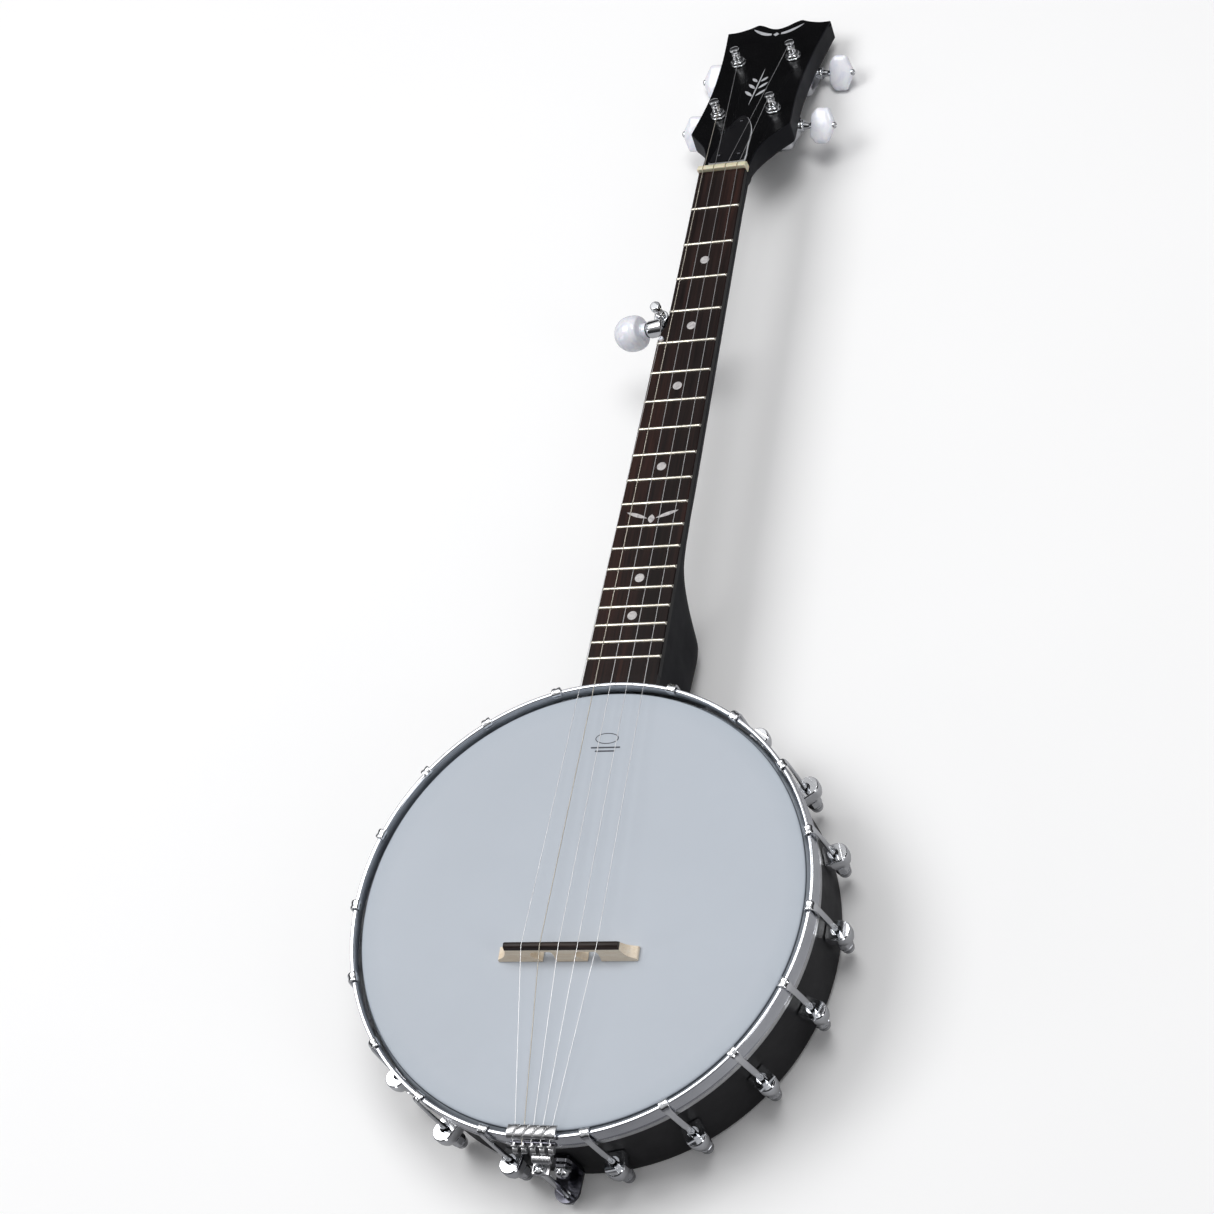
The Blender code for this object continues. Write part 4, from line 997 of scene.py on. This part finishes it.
# ------------------------------------------------------ rod and tail parts
bm = bmesh.new()
turned(bm, (0, 171.5, ROD_Z), (0, -1, 0), [(0, 3.0), (43.9, 3.0), (314.2, 3.0), (316.8, 3.0), (317.0, 2.6)], 40)
piece("rod_bar", bm, M_STEEL, node="coordinator_rod", smooth=40)
for k, y in enumerate((125.0, -124.3)):
    bm = bmesh.new()
    s = -1 if y > 0 else 1
    rings(bm, [[(x, y - 2.9 * 1, z + ROD_Z) for x, z in hexagon(6.2)], [(x, y + 2.6, z + ROD_Z) for x, z in hexagon(6.2)]])
    piece(f"rod_nut_{k + 1}", bm, M_CHROME, bevel=0.5)
    bm = bmesh.new()
    yy = 127.7 if y > 0 else -127.2
    turned(bm, (0, yy - 0.45, ROD_Z), (0, 1, 0), [(0, 7.4), (0.9, 7.4)], 48)
    piece(f"rod_washer_{k + 1}", bm, M_CHROME)

bm = bmesh.new()
rings(bm, [[(x, -142.75, z + ROD_Z) for x, z in hexagon(5.35)], [(x, -146.2, z + ROD_Z) for x, z in hexagon(5.35)]])
piece("tail_nut_hex", bm, M_CHROME, node="tail_nut", bevel=0.45)
bm = bmesh.new()
turned(bm, (0, -146.15, ROD_Z), (0, -1, 0), [(0, 4.3), (0.9, 4.2), (2.2, 3.6), (3.2, 2.6), (3.65, 1.2), (3.75, 0.2)], 40)
piece("tail_nut_dome", bm, M_CHROME, smooth=60)


def hanger_plate(bm):
    pts = [(7.9, -34.6), (-7.9, -34.6), (-8.2, -44.0), (-8.2, -59.6), (8.2, -59.6), (8.2, -44.0)]
    rings(bm, [[(x, -140.15, z) for x, z in soft(pts, 2.0, 4, True)], [(x, -142.3, z) for x, z in soft(pts, 2.0, 4, True)]])


def hanger_tongue(bm):
    pts = [(8.1, -140.9), (-8.1, -140.9)] + arc(0, -153.0, 7.7, 180, 360, 28)
    prism(bm, pts, -59.95, -57.6)


def hanger_holes(bm):
    turned(bm, (0, -155.5, -62), (0, 0, 1), [(0, 2.5), (6, 2.5)], 32)
    turned(bm, (0, -139, ROD_Z), (0, -1, 0), [(0, 3.4), (5, 3.4)], 32)


h_me = cut(cut(made(hanger_plate), [made(hanger_tongue)], "UNION"), [made(hanger_holes)])
piece("hanger_bracket", h_me, M_DARKCR, node="tailpiece_hanger", bevel=0.5, seg=2)


def tail_comb(bm):
    """Cast plate with five crowned fingers parted by curved grooves."""
    top = [(-135.85, 1.5), (-136.05, 1.95), (-136.8, 2.55), (-138.1, 3.1), (-139.7, 3.5), (-141.4, 3.55), (-142.5, 3.25), (-143.4, 2.6), (-143.95, 1.75), (-144.15, 1.2)]
    under = [(-143.8, 1.0), (-142.4, 1.15), (-140.4, 1.3), (-138.4, 1.35), (-136.1, 1.3)]
    n = 200
    rows = []
    for i in range(n + 1):
        x = -14.7 + 29.4 * i / n
        row = []
        for y, z in top:
            d = max(0.0, min(1.0, (-y - 135.8) / 8.3))
            bend = 4.2 * (d ** 0.8) - 2.1
            u = (x + bend + 14.7 + 0.6) / 5.9
            f = abs((u % 1.0) - 0.5) * 2
            g = math.exp(-((1 - f) / 0.11) ** 2) if 0.35 < u < 4.9 else 0.0
            crown = 0.35 * math.cos(math.pi * (u % 1.0 - 0.5))
            live = 1.0 if y > -143 else 0.6
            row.append((x, y, z + (crown - 0.25 - 1.0 * g) * live * (0.5 if y > -136.2 else 1)))
        row += [(x, y, z) for y, z in under]
        rows.append(row)
    rings(bm, rows)


bm = bmesh.new()
tail_comb(bm)
piece("tailpiece_comb", bm, M_CAST, node="tailpiece", smooth=38)
bm = bmesh.new()
rings(bm, [[(x, y, z) for x, z in soft([(-13.9, -1.2), (13.9, -1.2), (13.9, -5.4), (-13.9, -5.4)], 0.8, 3, True)] for y in (-144.3, -145.6)])
piece("tailpiece_apron", bm, M_DARKCR, bevel=0.3)
for i in range(5):
    x = -11.1 + 5.45 * i
    bm = bmesh.new()
    loop = [(x + 1.5 * math.cos(a), -147.0 - 0.9 * math.sin(a), -1.6 + 1.7 * math.sin(a)) for a in np.linspace(0.35 * math.pi, 2.65 * math.pi, 26)]
    tube(bm, loop, 0.42, 8)
    piece(f"string_loop_{i + 1}", bm, M_STRING, smooth=60)
    bm = bmesh.new()
    turned(bm, (x, -145.3, -2.2), (0, -1, 0), [(0, 1.0), (1.9, 1.0), (2.1, 1.3), (2.5, 1.35), (2.8, 0.9)], 24)
    piece(f"tail_stud_{i + 1}", bm, M_CAST, smooth=40)
    bm = bmesh.new()
    rings(bm, [[(xx, y, z) for y, z in soft([(-145.4, -3.6), (-148.3, -3.4), (-150.0, -4.6), (-150.2, -6.6), (-148.4, -7.8), (-145.4, -7.2)], 0.5, 3, True)] for xx in (x - 1.6, x + 1.6)])
    piece(f"tail_tooth_{i + 1}", bm, M_CAST, bevel=0.35)


def tail_strap(bm):
    prof = [(-144.9, -3.0), (-145.8, -3.0), (-146.6, -8.2), (-149.6, -11.6), (-150.2, -17.4), (-158.2, -17.6), (-158.2, -19.4), (-148.8, -19.4), (-148.2, -12.4), (-145.2, -9.4)]
    prof = soft(prof, 0.9, 4, True)
    rings(bm, [[(x, y, z) for y, z in prof] for x in (-4.6, 5.6)])


def lug_hole(bm):
    turned(bm, (0, -155.5, -22), (0, 0, 1), [(0, 2.5), (7, 2.5)], 32)


piece("tailpiece_strap", cut(made(tail_strap), [made(lug_hole)]), M_CAST, bevel=0.5)
bm = bmesh.new()
prof = [(-5.9, 2.2), (-5.6, 2.7)]
for k in range(6):
    s0 = -5.2 + k * 1.75
    prof += [(s0, 2.95), (s0 + 1.2, 2.95), (s0 + 1.45, 2.65), (s0 + 1.6, 2.65)]
prof += [(5.6, 2.7), (5.9, 2.2)]
turned(bm, (3.8, -151.3, -9.9), (1, 0, 0), prof, 36)
piece("tailpiece_barrel", bm, M_CAST, smooth=30)

bm = bmesh.new()
turned(bm, (0, -155.5, -13.4), (0, 0, -1), [(0, 0.3), (0.15, 1.3), (0.7, 2.4), (1.7, 3.3), (2.7, 3.6), (3.6, 3.3), (4.2, 2.6), (4.5, 2.1), (4.6, 2.1), (53.0, 2.1), (53.4, 1.7)], 40)
piece("tail_bolt_bar", bm, M_CHROME, node="tailpiece_bolt", smooth=45)
bm = bmesh.new()
b2 = [(x, y - 155.5) for x, y in hexagon(4.6)]
prism(bm, b2, -64.6, -60.2)
piece("tail_bolt_nut", bm, M_CHROME, node="tailpiece_nut", bevel=0.45)


# ------------------------------------------------------------------ bridge
def bridge_body(bm):
    z0 = HEAD_Z + 0.12
    end = [(35.4, CAP_Z), (36.0, 5.9), (37.2, 3.2), (39.2, 0.9), (41.6, -0.5), (43.2, -1.3), (43.4, z0)]
    arches = []
    for xl, xr in ((12.6, 20.8), (-15.4, -7.2)):
        arches += [(xr, z0), (xr + 0.5, z0 + 3.0), (xr + 0.5, z0 + 7.0), (xr, z0 + 9.0), (xr - 1.2, z0 + 9.6), (xl - 2.6, z0 + 9.6), (xl - 4.6, z0 + 8.9), (xl - 5.8, z0 + 7.3), (xl - 5.5, z0 + 5.6), (xl - 4.0, z0 + 3.6), (xl - 2.0, z0 + 2.0), (xl - 0.4, z0 + 1.1), (xl, z0)]
    out = end + arches + [(-x, z) for x, z in reversed(end)]
    out = soft(out, 0.5, 2, True)
    n_rows = []
    for k in range(9):
        t = -1 + 2 * k / 8
        row = []
        for x, z in out:
            e = (z - z0) / (CAP_Z - z0)
            hw = 4.5 * (1 - e) + 2.35 * e
            hw *= 1 - 0.04 * abs(t) ** 6
            row.append((x + BRIDGE_DX - BRIDGE_SKEW * t * hw, bridge_y(x) + t * hw, z))
        n_rows.append(row)
    rings(bm, n_rows)


bm = bmesh.new()
bridge_body(bm)
piece("bridge_maple", bm, M_MAPLE, node="bridge", smooth=35)


def bridge_top(bm):
    rows = []
    zt = CAP_Z + 3.15
    slots = [BRIDGE_X[s] - BRIDGE_DX for s in (5, 4, 3, 2, 1)]
    xs = [-35.5, -35.2, -34.6]
    for sx in slots:
        xs += [sx - 0.6, sx - 0.32, sx - 0.3, sx + 0.3, sx + 0.32, sx + 0.6]
    xs += [-2.4, -2.0, -1.6, 34.6, 35.2, 35.5]
    for x in sorted(xs):
        c = 0.35 if any(abs(x - s) < 0.31 for s in slots) else 0.0
        e = min(x + 35.5, 35.5 - x)
        ez = 0.35 * (1 - min(e / 0.9, 1)) ** 2
        z = zt - c - ez
        prof = [(-2.45, CAP_Z + 0.06), (2.45, CAP_Z + 0.06), (1.75, z - 0.75), (1.3, z - 0.2), (0.7, z), (-0.7, z), (-1.3, z - 0.2), (-1.75, z - 0.75)]
        rows.append([(x + BRIDGE_DX - BRIDGE_SKEW * a, bridge_y(x) + a, b) for a, b in prof])
    rings(bm, rows)


bm = bmesh.new()
bridge_top(bm)
piece("bridge_ebony", bm, M_EBONY, node="bridge_cap", smooth=35)

# ------------------------------------------------------------------ tuners
for k, (u, w, side) in POSTS.items():
    base = face_matrix(u, side * w, 0, TUNER_TURN)
    pb, bb = f"post_{k}", f"button_{k}"

    bm = bmesh.new()
    turned_loop(bm, (0, 0, 0), (0, 0, 1), soft([(-14.0, 3.4), (3.7, 3.4), (3.9, 4.3), (3.3, 4.7), (1.5, 4.9), (1.35, 5.6), (0.3, 5.75), (0.3, 4.85), (-14.0, 4.85)], 0.25, 2, True), 48)
    piece(f"bushing_{k}", finish_mesh(bm, "bushing", base), M_CHROME, node=f"tuner_bushing_{k}", smooth=35)
    bm = bmesh.new()
    rings(bm, [[(x, y, 1.4) for x, y in hexagon(5.5, 0.3)], [(x, y, 3.2) for x, y in hexagon(5.5, 0.3)]])
    hexm = bmesh.new()
    turned(hexm, (0, 0, 0), (0, 0, 1), [(0, 3.45), (6, 3.45)], 40)
    hx = cut(finish_mesh(bm, "hex", base), [finish_mesh(hexm, "h", base)])
    piece(f"bushing_hex_{k}", hx, M_CHROME, bevel=0.3)

    def rr(x0, x1, y0, y1, r, n=6):
        pts = []
        for cx, cy, a in ((x1 - r, y0 + r, -90), (x1 - r, y1 - r, 0), (x0 + r, y1 - r, 90), (x0 + r, y0 + r, 180)):
            pts += arc(cx, cy, r, a, a + 90, n)
        return [(side * x, y) for x, y in pts]

    bm = bmesh.new()
    rows = []
    for z, c in ((-16.35, 0.0), (-23.6, 0.0), (-24.9, 0.25), (-25.7, 0.75), (-26.25, 1.5), (-26.5, 2.6)):
        rows.append([(x, y, z) for x, y in rr(-8 + c, 12 - c, -13 + c, 15 - c, 4.0 - min(c, 2) * 0.4)])
    rings(bm, rows)
    hm = finish_mesh(bm, "housing", base)
    pk = bmesh.new()
    prism(pk, [(side * x, y) for x, y in ((-6.4, -7.2), (9.0, -7.2), (9.0, 13.3), (-6.4, 13.3))], -24.9, -12.0)
    sb = bmesh.new()
    turned(sb, (side * 5.0, SHAFT_U, SHAFT_H), (side, 0, 0), [(0, 2.65), (12, 2.65)], 32)
    hm = cut(hm, [finish_mesh(pk, "pocket", base), finish_mesh(sb, "bore", base)])
    piece(f"gear_case_{k}", hm, M_CHROME, node=f"tuner_housing_{k}", smooth=32)
    bm = bmesh.new()
    turned_loop(bm, (side * 12.0, SHAFT_U, SHAFT_H), (side, 0, 0), soft([(-0.4, 2.7), (-0.4, 4.4), (1.6, 4.2), (2.4, 3.5), (2.4, 2.7)], 0.4, 3, True), 40)
    piece(f"case_collar_{k}", finish_mesh(bm, "collar", base), M_CHROME, smooth=40)
    for j, (sx, sy) in enumerate(((2.0, -10.6), (2.0, 13.0))):
        if j == 1:
            continue
        bm = bmesh.new()
        turned(bm, (side * sx, sy, -26.3), (0, 0, -1), [(0, 1.9), (0.3, 1.85), (0.7, 1.4), (0.85, 0.6)], 28)
        piece(f"case_screw_{k}", finish_mesh(bm, "screw", base), M_STEEL, smooth=45)

    # post with its worm wheel, and the string wound round it
    bm = bmesh.new()
    prof = [(-24.3, 2.8), (-23.1, 2.8), (-23.0, 6.1), (-18.5, 6.1), (-18.4, 2.9), (4.0, 2.9), (4.6, 3.1), (5.6, 3.0), (6.4, 2.55), (7.2, 2.35), (9.4, 2.35), (10.2, 2.5), (10.9, 2.95), (11.4, 3.35), (12.2, 3.5), (12.9, 3.2), (13.2, 2.4), (13.28, 0.8)]
    turned(bm, (0, 0, 0), (0, 0, 1), prof, 44)
    piece(f"string_post_{k}", finish_mesh(bm, "post", base), M_CHROME, body=pb, node=f"tuner_post_{k}", smooth=35)
    bm = bmesh.new()
    turns = 2.6
    coil = []
    for i in range(int(turns * 22) + 1):
        a = i / 22 * 2 * math.pi
        coil.append((2.62 * math.cos(a * -side + 1.2), 2.62 * math.sin(a * -side + 1.2), 7.7 + 0.52 * a / (2 * math.pi)))
    tube(bm, coil, 0.25, 8)
    piece(f"string_wrap_{k}", finish_mesh(bm, "wrap", base), M_STRING, body=pb, smooth=60)

    # button on its worm shaft
    lean = math.radians(BUTTON_LEAN[k])
    bmx = base @ Matrix.Translation(Vector((0, SHAFT_U, SHAFT_H)))
    bm = bmesh.new()
    prof = soft([(-4.4, 2.1), (-3.6, 2.65), (5.4, 2.65), (6.2, 2.2), (12.6, 2.2), (13.4, 2.6), (14.8, 2.6), (18.2, 1.95), (19.0, 2.0), (19.6, 2.9), (20.6, 3.1)], 0.25, 2)
    turned(bm, (0, 0, 0), (side, 0, 0), prof, 40)
    piece(f"worm_shaft_{k}", finish_mesh(bm, "shaft", bmx), M_CHROME, body=bb, smooth=35)
    out = [(19.2, 0.0), (19.2, 3.4), (19.3, 6.4), (19.9, 7.9), (21.6, 10.0), (23.2, 11.8), (24.4, 12.4), (28.4, 12.5), (31.4, 12.4), (32.6, 11.7), (34.2, 8.6), (35.9, 4.9), (36.7, 3.0), (36.95, 0.0)]
    fine = []
    S = [0.0]
    for p, q in zip(out[:-1], out[1:]):
        S.append(S[-1] + math.hypot(q[0] - p[0], q[1] - p[1]))
    for s in np.linspace(0, S[-1], 40):
        fine.append((smooth_keys(s, S, [p[0] for p in out]), smooth_keys(s, S, [p[1] for p in out])))
    cx = 28.0
    outline = fine + [(x, -y) for x, y in reversed(fine[1:-1])]
    rows = []
    lv = [(0.0, 3.30), (0.25, 3.28), (0.5, 3.18), (0.7, 2.98), (0.84, 2.62), (0.93, 2.1), (0.98, 1.4), (1.0, 0.6)]
    for q, h in lv:
        rows.append([(side * (cx + (x - cx) * max(q, 0.02)), y * max(q, 0.02), h) for x, y in outline])
    for q, h in reversed(lv):
        rows.append([(side * (cx + (x - cx) * max(q, 0.02)), y * max(q, 0.02), -h) for x, y in outline])
    bm = bmesh.new()
    rings(bm, rows)
    bm.transform(Matrix.Rotation(math.pi / 2 - lean, 4, "X"))
    piece(f"pearl_button_{k}", finish_mesh(bm, "paddle", bmx), M_PEARL, body=bb, node=f"tuner_button_{k}", smooth=60)
    bm = bmesh.new()
    turned(bm, (side * 36.3, 0, 0), (side, 0, 0), [(0, 2.3), (0.9, 2.3), (1.5, 2.1), (1.9, 1.6), (1.95, 0.9), (1.5, 0.7), (1.4, 0.1)], 32)
    piece(f"button_end_{k}", finish_mesh(bm, "end", bmx), M_CHROME, body=bb, smooth=35)

# --------------------------------------------------------- fifth-string peg
AX = Vector((-math.cos(PEG_TILT), 0, -math.sin(PEG_TILT)))


def peg_barrel(bm):
    turned(bm, PEG_AX, AX, soft([(-7.4, 4.9), (-7.4, 5.9), (2.9, 5.9), (4.0, 5.2)], 0.4, 3), 56)


def peg_tower(bm):
    turned(bm, (PEG_POST[0], PEG_POST[1], -25.5), (0, 0, 1), soft([(0, 3.9), (0, 4.5), (9.2, 4.9), (9.25, 4.0)], 0.4, 3), 56)


def peg_shank(bm):
    turned(bm, (-22.4, 421.2, -24.0), (1, 0, 0), [(0, 3.25), (16.4, 3.1)], 40)


def peg_web(bm):
    rings(bm, [[(PEG_POST[0] + x, y, -24.9), (PEG_POST[0] + x, y, -16.6)][::1] + [(PEG_POST[0] + x2, y, -16.6), (PEG_POST[0] + x2, y, -24.9)] for y, x, x2 in ((417.5, -3.6, 2.4), (427.5, -3.9, 3.9))])


def peg_bores(bm):
    turned(bm, (PEG_POST[0], PEG_POST[1], -22.7), (0, 0, 1), [(0, 2.8), (6.9, 2.8), (6.9, 3.7), (12, 3.7)], 40)
    turned(bm, Vector(PEG_AX) - AX * 1.0, AX, [(0, 2.65), (8, 2.65)], 40)


peg_me = cut(cut(made(peg_barrel), [made(peg_tower), made(peg_shank), made(peg_web)], "UNION"), [made(peg_bores)])
piece("peg_case", peg_me, M_CHROME, node="fifth_peg_housing", bevel=0.3, seg=2, angle=40)

pm = Matrix.Translation(Vector((PEG_POST[0], PEG_POST[1], -16.0)))
bm = bmesh.new()
turned(bm, (0, 0, 0), (0, 0, 1), soft([(-6.2, 2.3), (0.5, 2.4), (0.6, 3.3), (1.5, 3.35), (2.4, 2.7), (3.4, 2.6), (3.5, 3.0), (4.4, 3.0), (4.6, 2.4), (7.6, 2.3), (8.2, 3.1), (8.6, 3.55), (11.4, 3.55), (12.2, 3.0), (12.3, 0.6)], 0.3, 3), 44)
piece("peg_post", finish_mesh(bm, "peg_post", pm), M_CHROME, body="fifth_post", node="fifth_peg_post", smooth=35)
bm = bmesh.new()
coil = [(2.55 * math.cos(a), 2.55 * math.sin(a), 5.0 + 0.42 * a / (2 * math.pi)) for a in np.linspace(0.4, 0.4 + 2 * math.pi * 3.2, 70)]
tube(bm, coil, 0.2, 8)
piece("peg_wrap", finish_mesh(bm, "peg_wrap", pm), M_STRING, body="fifth_post", smooth=60)

km = Matrix.Translation(Vector(PEG_AX)) @ AX.to_track_quat("X", "Z").to_matrix().to_4x4()
bm = bmesh.new()
turned(bm, (0, 0, 0), (1, 0, 0), soft([(8.35, 4.3), (8.4, 5.25), (9.0, 5.5), (9.5, 9.2), (9.9, 10.2), (11.6, 11.2), (14.0, 11.95), (17.6, 12.1), (21.0, 11.6), (24.0, 10.2), (26.5, 8.1), (28.2, 5.6), (29.0, 3.0), (29.18, 0.6)], 0.5, 4), 72)
piece("peg_knob_pearl", finish_mesh(bm, "knob", km), M_PEARL, body="fifth_knob", node="fifth_peg_knob", smooth=50)
bm = bmesh.new()
turned(bm, (0, 0, 0), (1, 0, 0), soft([(5.1, 3.0), (5.1, 5.0), (8.6, 5.3), (8.6, 3.0)], 0.3, 3), 56)
piece("peg_collar", finish_mesh(bm, "collar", km), M_PEARL, body="fifth_knob", smooth=35)
bm = bmesh.new()
turned(bm, (0, 0, 0), (1, 0, 0), soft([(4.25, 2.4), (4.25, 5.1), (5.05, 5.1), (5.05, 2.4)], 0.2, 2), 56)
piece("peg_ring", finish_mesh(bm, "ring", km), M_BLACKPL, body="fifth_knob", smooth=35)
bm = bmesh.new()
turned(bm, (0, 0, 0), (1, 0, 0), [(-0.2, 2.1), (4.4, 2.1)], 32)
piece("peg_shaft", finish_mesh(bm, "shaft", km), M_STEEL, body="fifth_knob")

# ----------------------------------------------------------------- strings
GAUGE = {1: 0.19, 2: 0.2, 3: 0.21, 4: 0.28, 5: 0.19}
for s in range(1, 6):
    g = GAUGE[s]
    # over the tailpiece, the bridge and the nut
    pts = [(TAIL_X[s], -147.6, -0.6), (TAIL_X[s], -146.6, 0.0), (TAIL_X[s], -145.4, 0.3), (TAIL_X[s], -143.8, 0.4), (TAIL_X[s], -141.5, 0.42), (TAIL_X[s], -139.0, 0.5), (TAIL_X[s], -137.2, 0.62)]
    pts = [(x, y, z + g) for x, y, z in pts]
    bx = BRIDGE_X[s]
    by = bridge_y(bx)
    for t in (0.25, 0.5, 0.75):
        a, b = Vector(pts[6]), Vector((bx, by - 1.2, CAP_TOP - 0.2 + g))
        pts.append(tuple(a.lerp(b, t)))
    pts += [(bx, by - 1.2, CAP_TOP - 0.22 + g), (bx, by, CAP_TOP - 0.1 + g), (bx, by + 1.2, CAP_TOP - 0.22 + g)]
    if s == 5:
        end = (-17.9, 405.2, board_z(405.8) + 2.5 + g)
    else:
        end = (NUT_X[s], NUT_Y + 0.6, -15.9 + g)
    a, b = Vector(pts[-1]), Vector(end)
    for t in (0.2, 0.4, 0.6, 0.8):
        pts.append(tuple(a.lerp(b, t)))
    pts.append(end)
    if s == 5:
        pts += [(-17.9, 407.6, board_z(405.8) + 2.5 + g), (-18.5, 413.0, -11.2), (PEG_POST[0] + 2.7, 426.6, -10.9)]
    else:
        u, w, side = POSTS[s]
        pts += [(NUT_X[s], NUT_Y + 3.4, -16.55 + g)]
        last = face_matrix(u, side * w, 0, TUNER_TURN) @ Vector((-side * 2.75, 0.6, 8.1))
        a = Vector(pts[-1])
        for t in (0.3, 0.65):
            pts.append(tuple(a.lerp(last, t)))
        pts.append(tuple(last))
    bm = bmesh.new()
    tube(bm, pts, g, 10)
    piece(f"string_wire_{s}", bm, M_WOUND if s == 4 else M_STRING, node=f"string_{s}", smooth=80)

# -------------------------------------------- material of what stays from CAD
for name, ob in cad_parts.items():
    if name == "truss_rod":
        ob.data.materials.clear()
        ob.data.materials.append(M_STEEL)

# -------------------------------------------------------- floor and lights
floor_p = Paint("studio_floor", rough=0.7)
pale = floor_p.ramp(floor_p.noise(3, 2), [(0.3, (0.955, 0.955, 0.955)), (0.7, (0.965, 0.965, 0.965))])
# painted reflection: glossy rays see the floor mid grey, and dark grey in front of the tail, while the camera sees it
# pale
lp = floor_p.new("ShaderNodeLightPath")
fl = floor_p.new("ShaderNodeSeparateXYZ")
floor_p.link(floor_p.coords(), fl.inputs[0])
dark_reflection_mask = floor_p.level(fl.outputs[1], 0.0, 1.0, -0.52, -0.41)
painted_reflection_color = floor_p.mix(dark_reflection_mask, (0.13, 0.13, 0.14), (0.44, 0.44, 0.45))
floor_p.color(floor_p.mix(lp.outputs["Is Glossy Ray"], pale, painted_reflection_color))
floor_p.set(Specular_IOR_Level=0.05)
fb = bmesh.new()
for p in ((-14, -14), (14, -14), (14, 14), (-14, 14)):
    fb.verts.new((p[0], p[1], -0.0006))
fb.faces.new(fb.verts[:])
fm_ = bpy.data.meshes.new("floor")
fb.to_mesh(fm_)
fb.free()
floor = bpy.data.objects.new("floor", fm_)
bpy.context.scene.collection.objects.link(floor)
fm_.materials.append(floor_p.mat)

world = bpy.data.worlds.new("studio")
bpy.context.scene.world = world
world.use_nodes = True
wn = world.node_tree
bg = wn.nodes["Background"]
tc = wn.nodes.new("ShaderNodeTexCoord")
sp = wn.nodes.new("ShaderNodeSeparateXYZ")
rp = wn.nodes.new("ShaderNodeValToRGB")
wn.links.new(tc.outputs["Generated"], sp.inputs[0])
wn.links.new(sp.outputs[2], rp.inputs[0])
els = rp.color_ramp.elements
els[0].position, els[0].color = 0.0, (0.02, 0.02, 0.022, 1)
els[1].position, els[1].color = 1.0, (0.62, 0.62, 0.63, 1)
for pos, v in ((0.30, 0.03), (0.52, 0.10), (0.72, 0.42)):
    e = els.new(pos)
    e.color = (v, v, v * 1.02, 1)
wn.links.new(rp.outputs[0], bg.inputs["Color"])
bg.inputs["Strength"].default_value = 1.0


def softbox(name, at, to, size, power, spread=math.pi):
    l = bpy.data.lights.new(name, "AREA")
    l.shape = "RECTANGLE"
    l.size, l.size_y = size
    l.energy = power
    l.spread = spread
    o = bpy.data.objects.new(name, l)
    bpy.context.scene.collection.objects.link(o)
    o.location = at
    o.rotation_mode = "QUATERNION"
    o.rotation_quaternion = (Vector(to) - Vector(at)).to_track_quat("-Z", "Y")
    return o


softbox("key", (-1.3, 0.1, 2.3), (0, -0.05, 0), (1.3, 1.3), 27)
softbox("top", (0.5, 0.5, 2.7), (0, 0.0, 0), (1.5, 0.9), 24)
softbox("back", (-1.45, 1.35, 2.15), (0, 0, 0), (1.5, 1.5), 4.2)
softbox("side", (2.0, -1.2, 0.95), (0, -0.2, 0), (0.5, 1.5), 7)
softbox("low_left", (-2.0, -1.2, 0.9), (0, -0.2, 0), (0.35, 1.2), 4)

# ------------------------------------------------------------------ camera
cam = bpy.data.cameras.new("camera")
cam.sensor_width = 36.0
cam.lens = 79.735
cam.shift_x = -0.003494
cam.shift_y = -0.002319
cam.clip_start, cam.clip_end = 0.05, 60
co = bpy.data.objects.new("camera", cam)
bpy.context.scene.collection.objects.link(co)
co.rotation_mode = "QUATERNION"
co.rotation_quaternion = (0.9420939613674866, 0.2708829448965613, 0.19474625567063955, 0.0339896163754373)
co.location = (0.6233527786607093, -0.9061811064093568, 1.3593564073794995)
bpy.context.scene.camera = co
bpy.context.scene.view_settings.view_transform = "Standard"
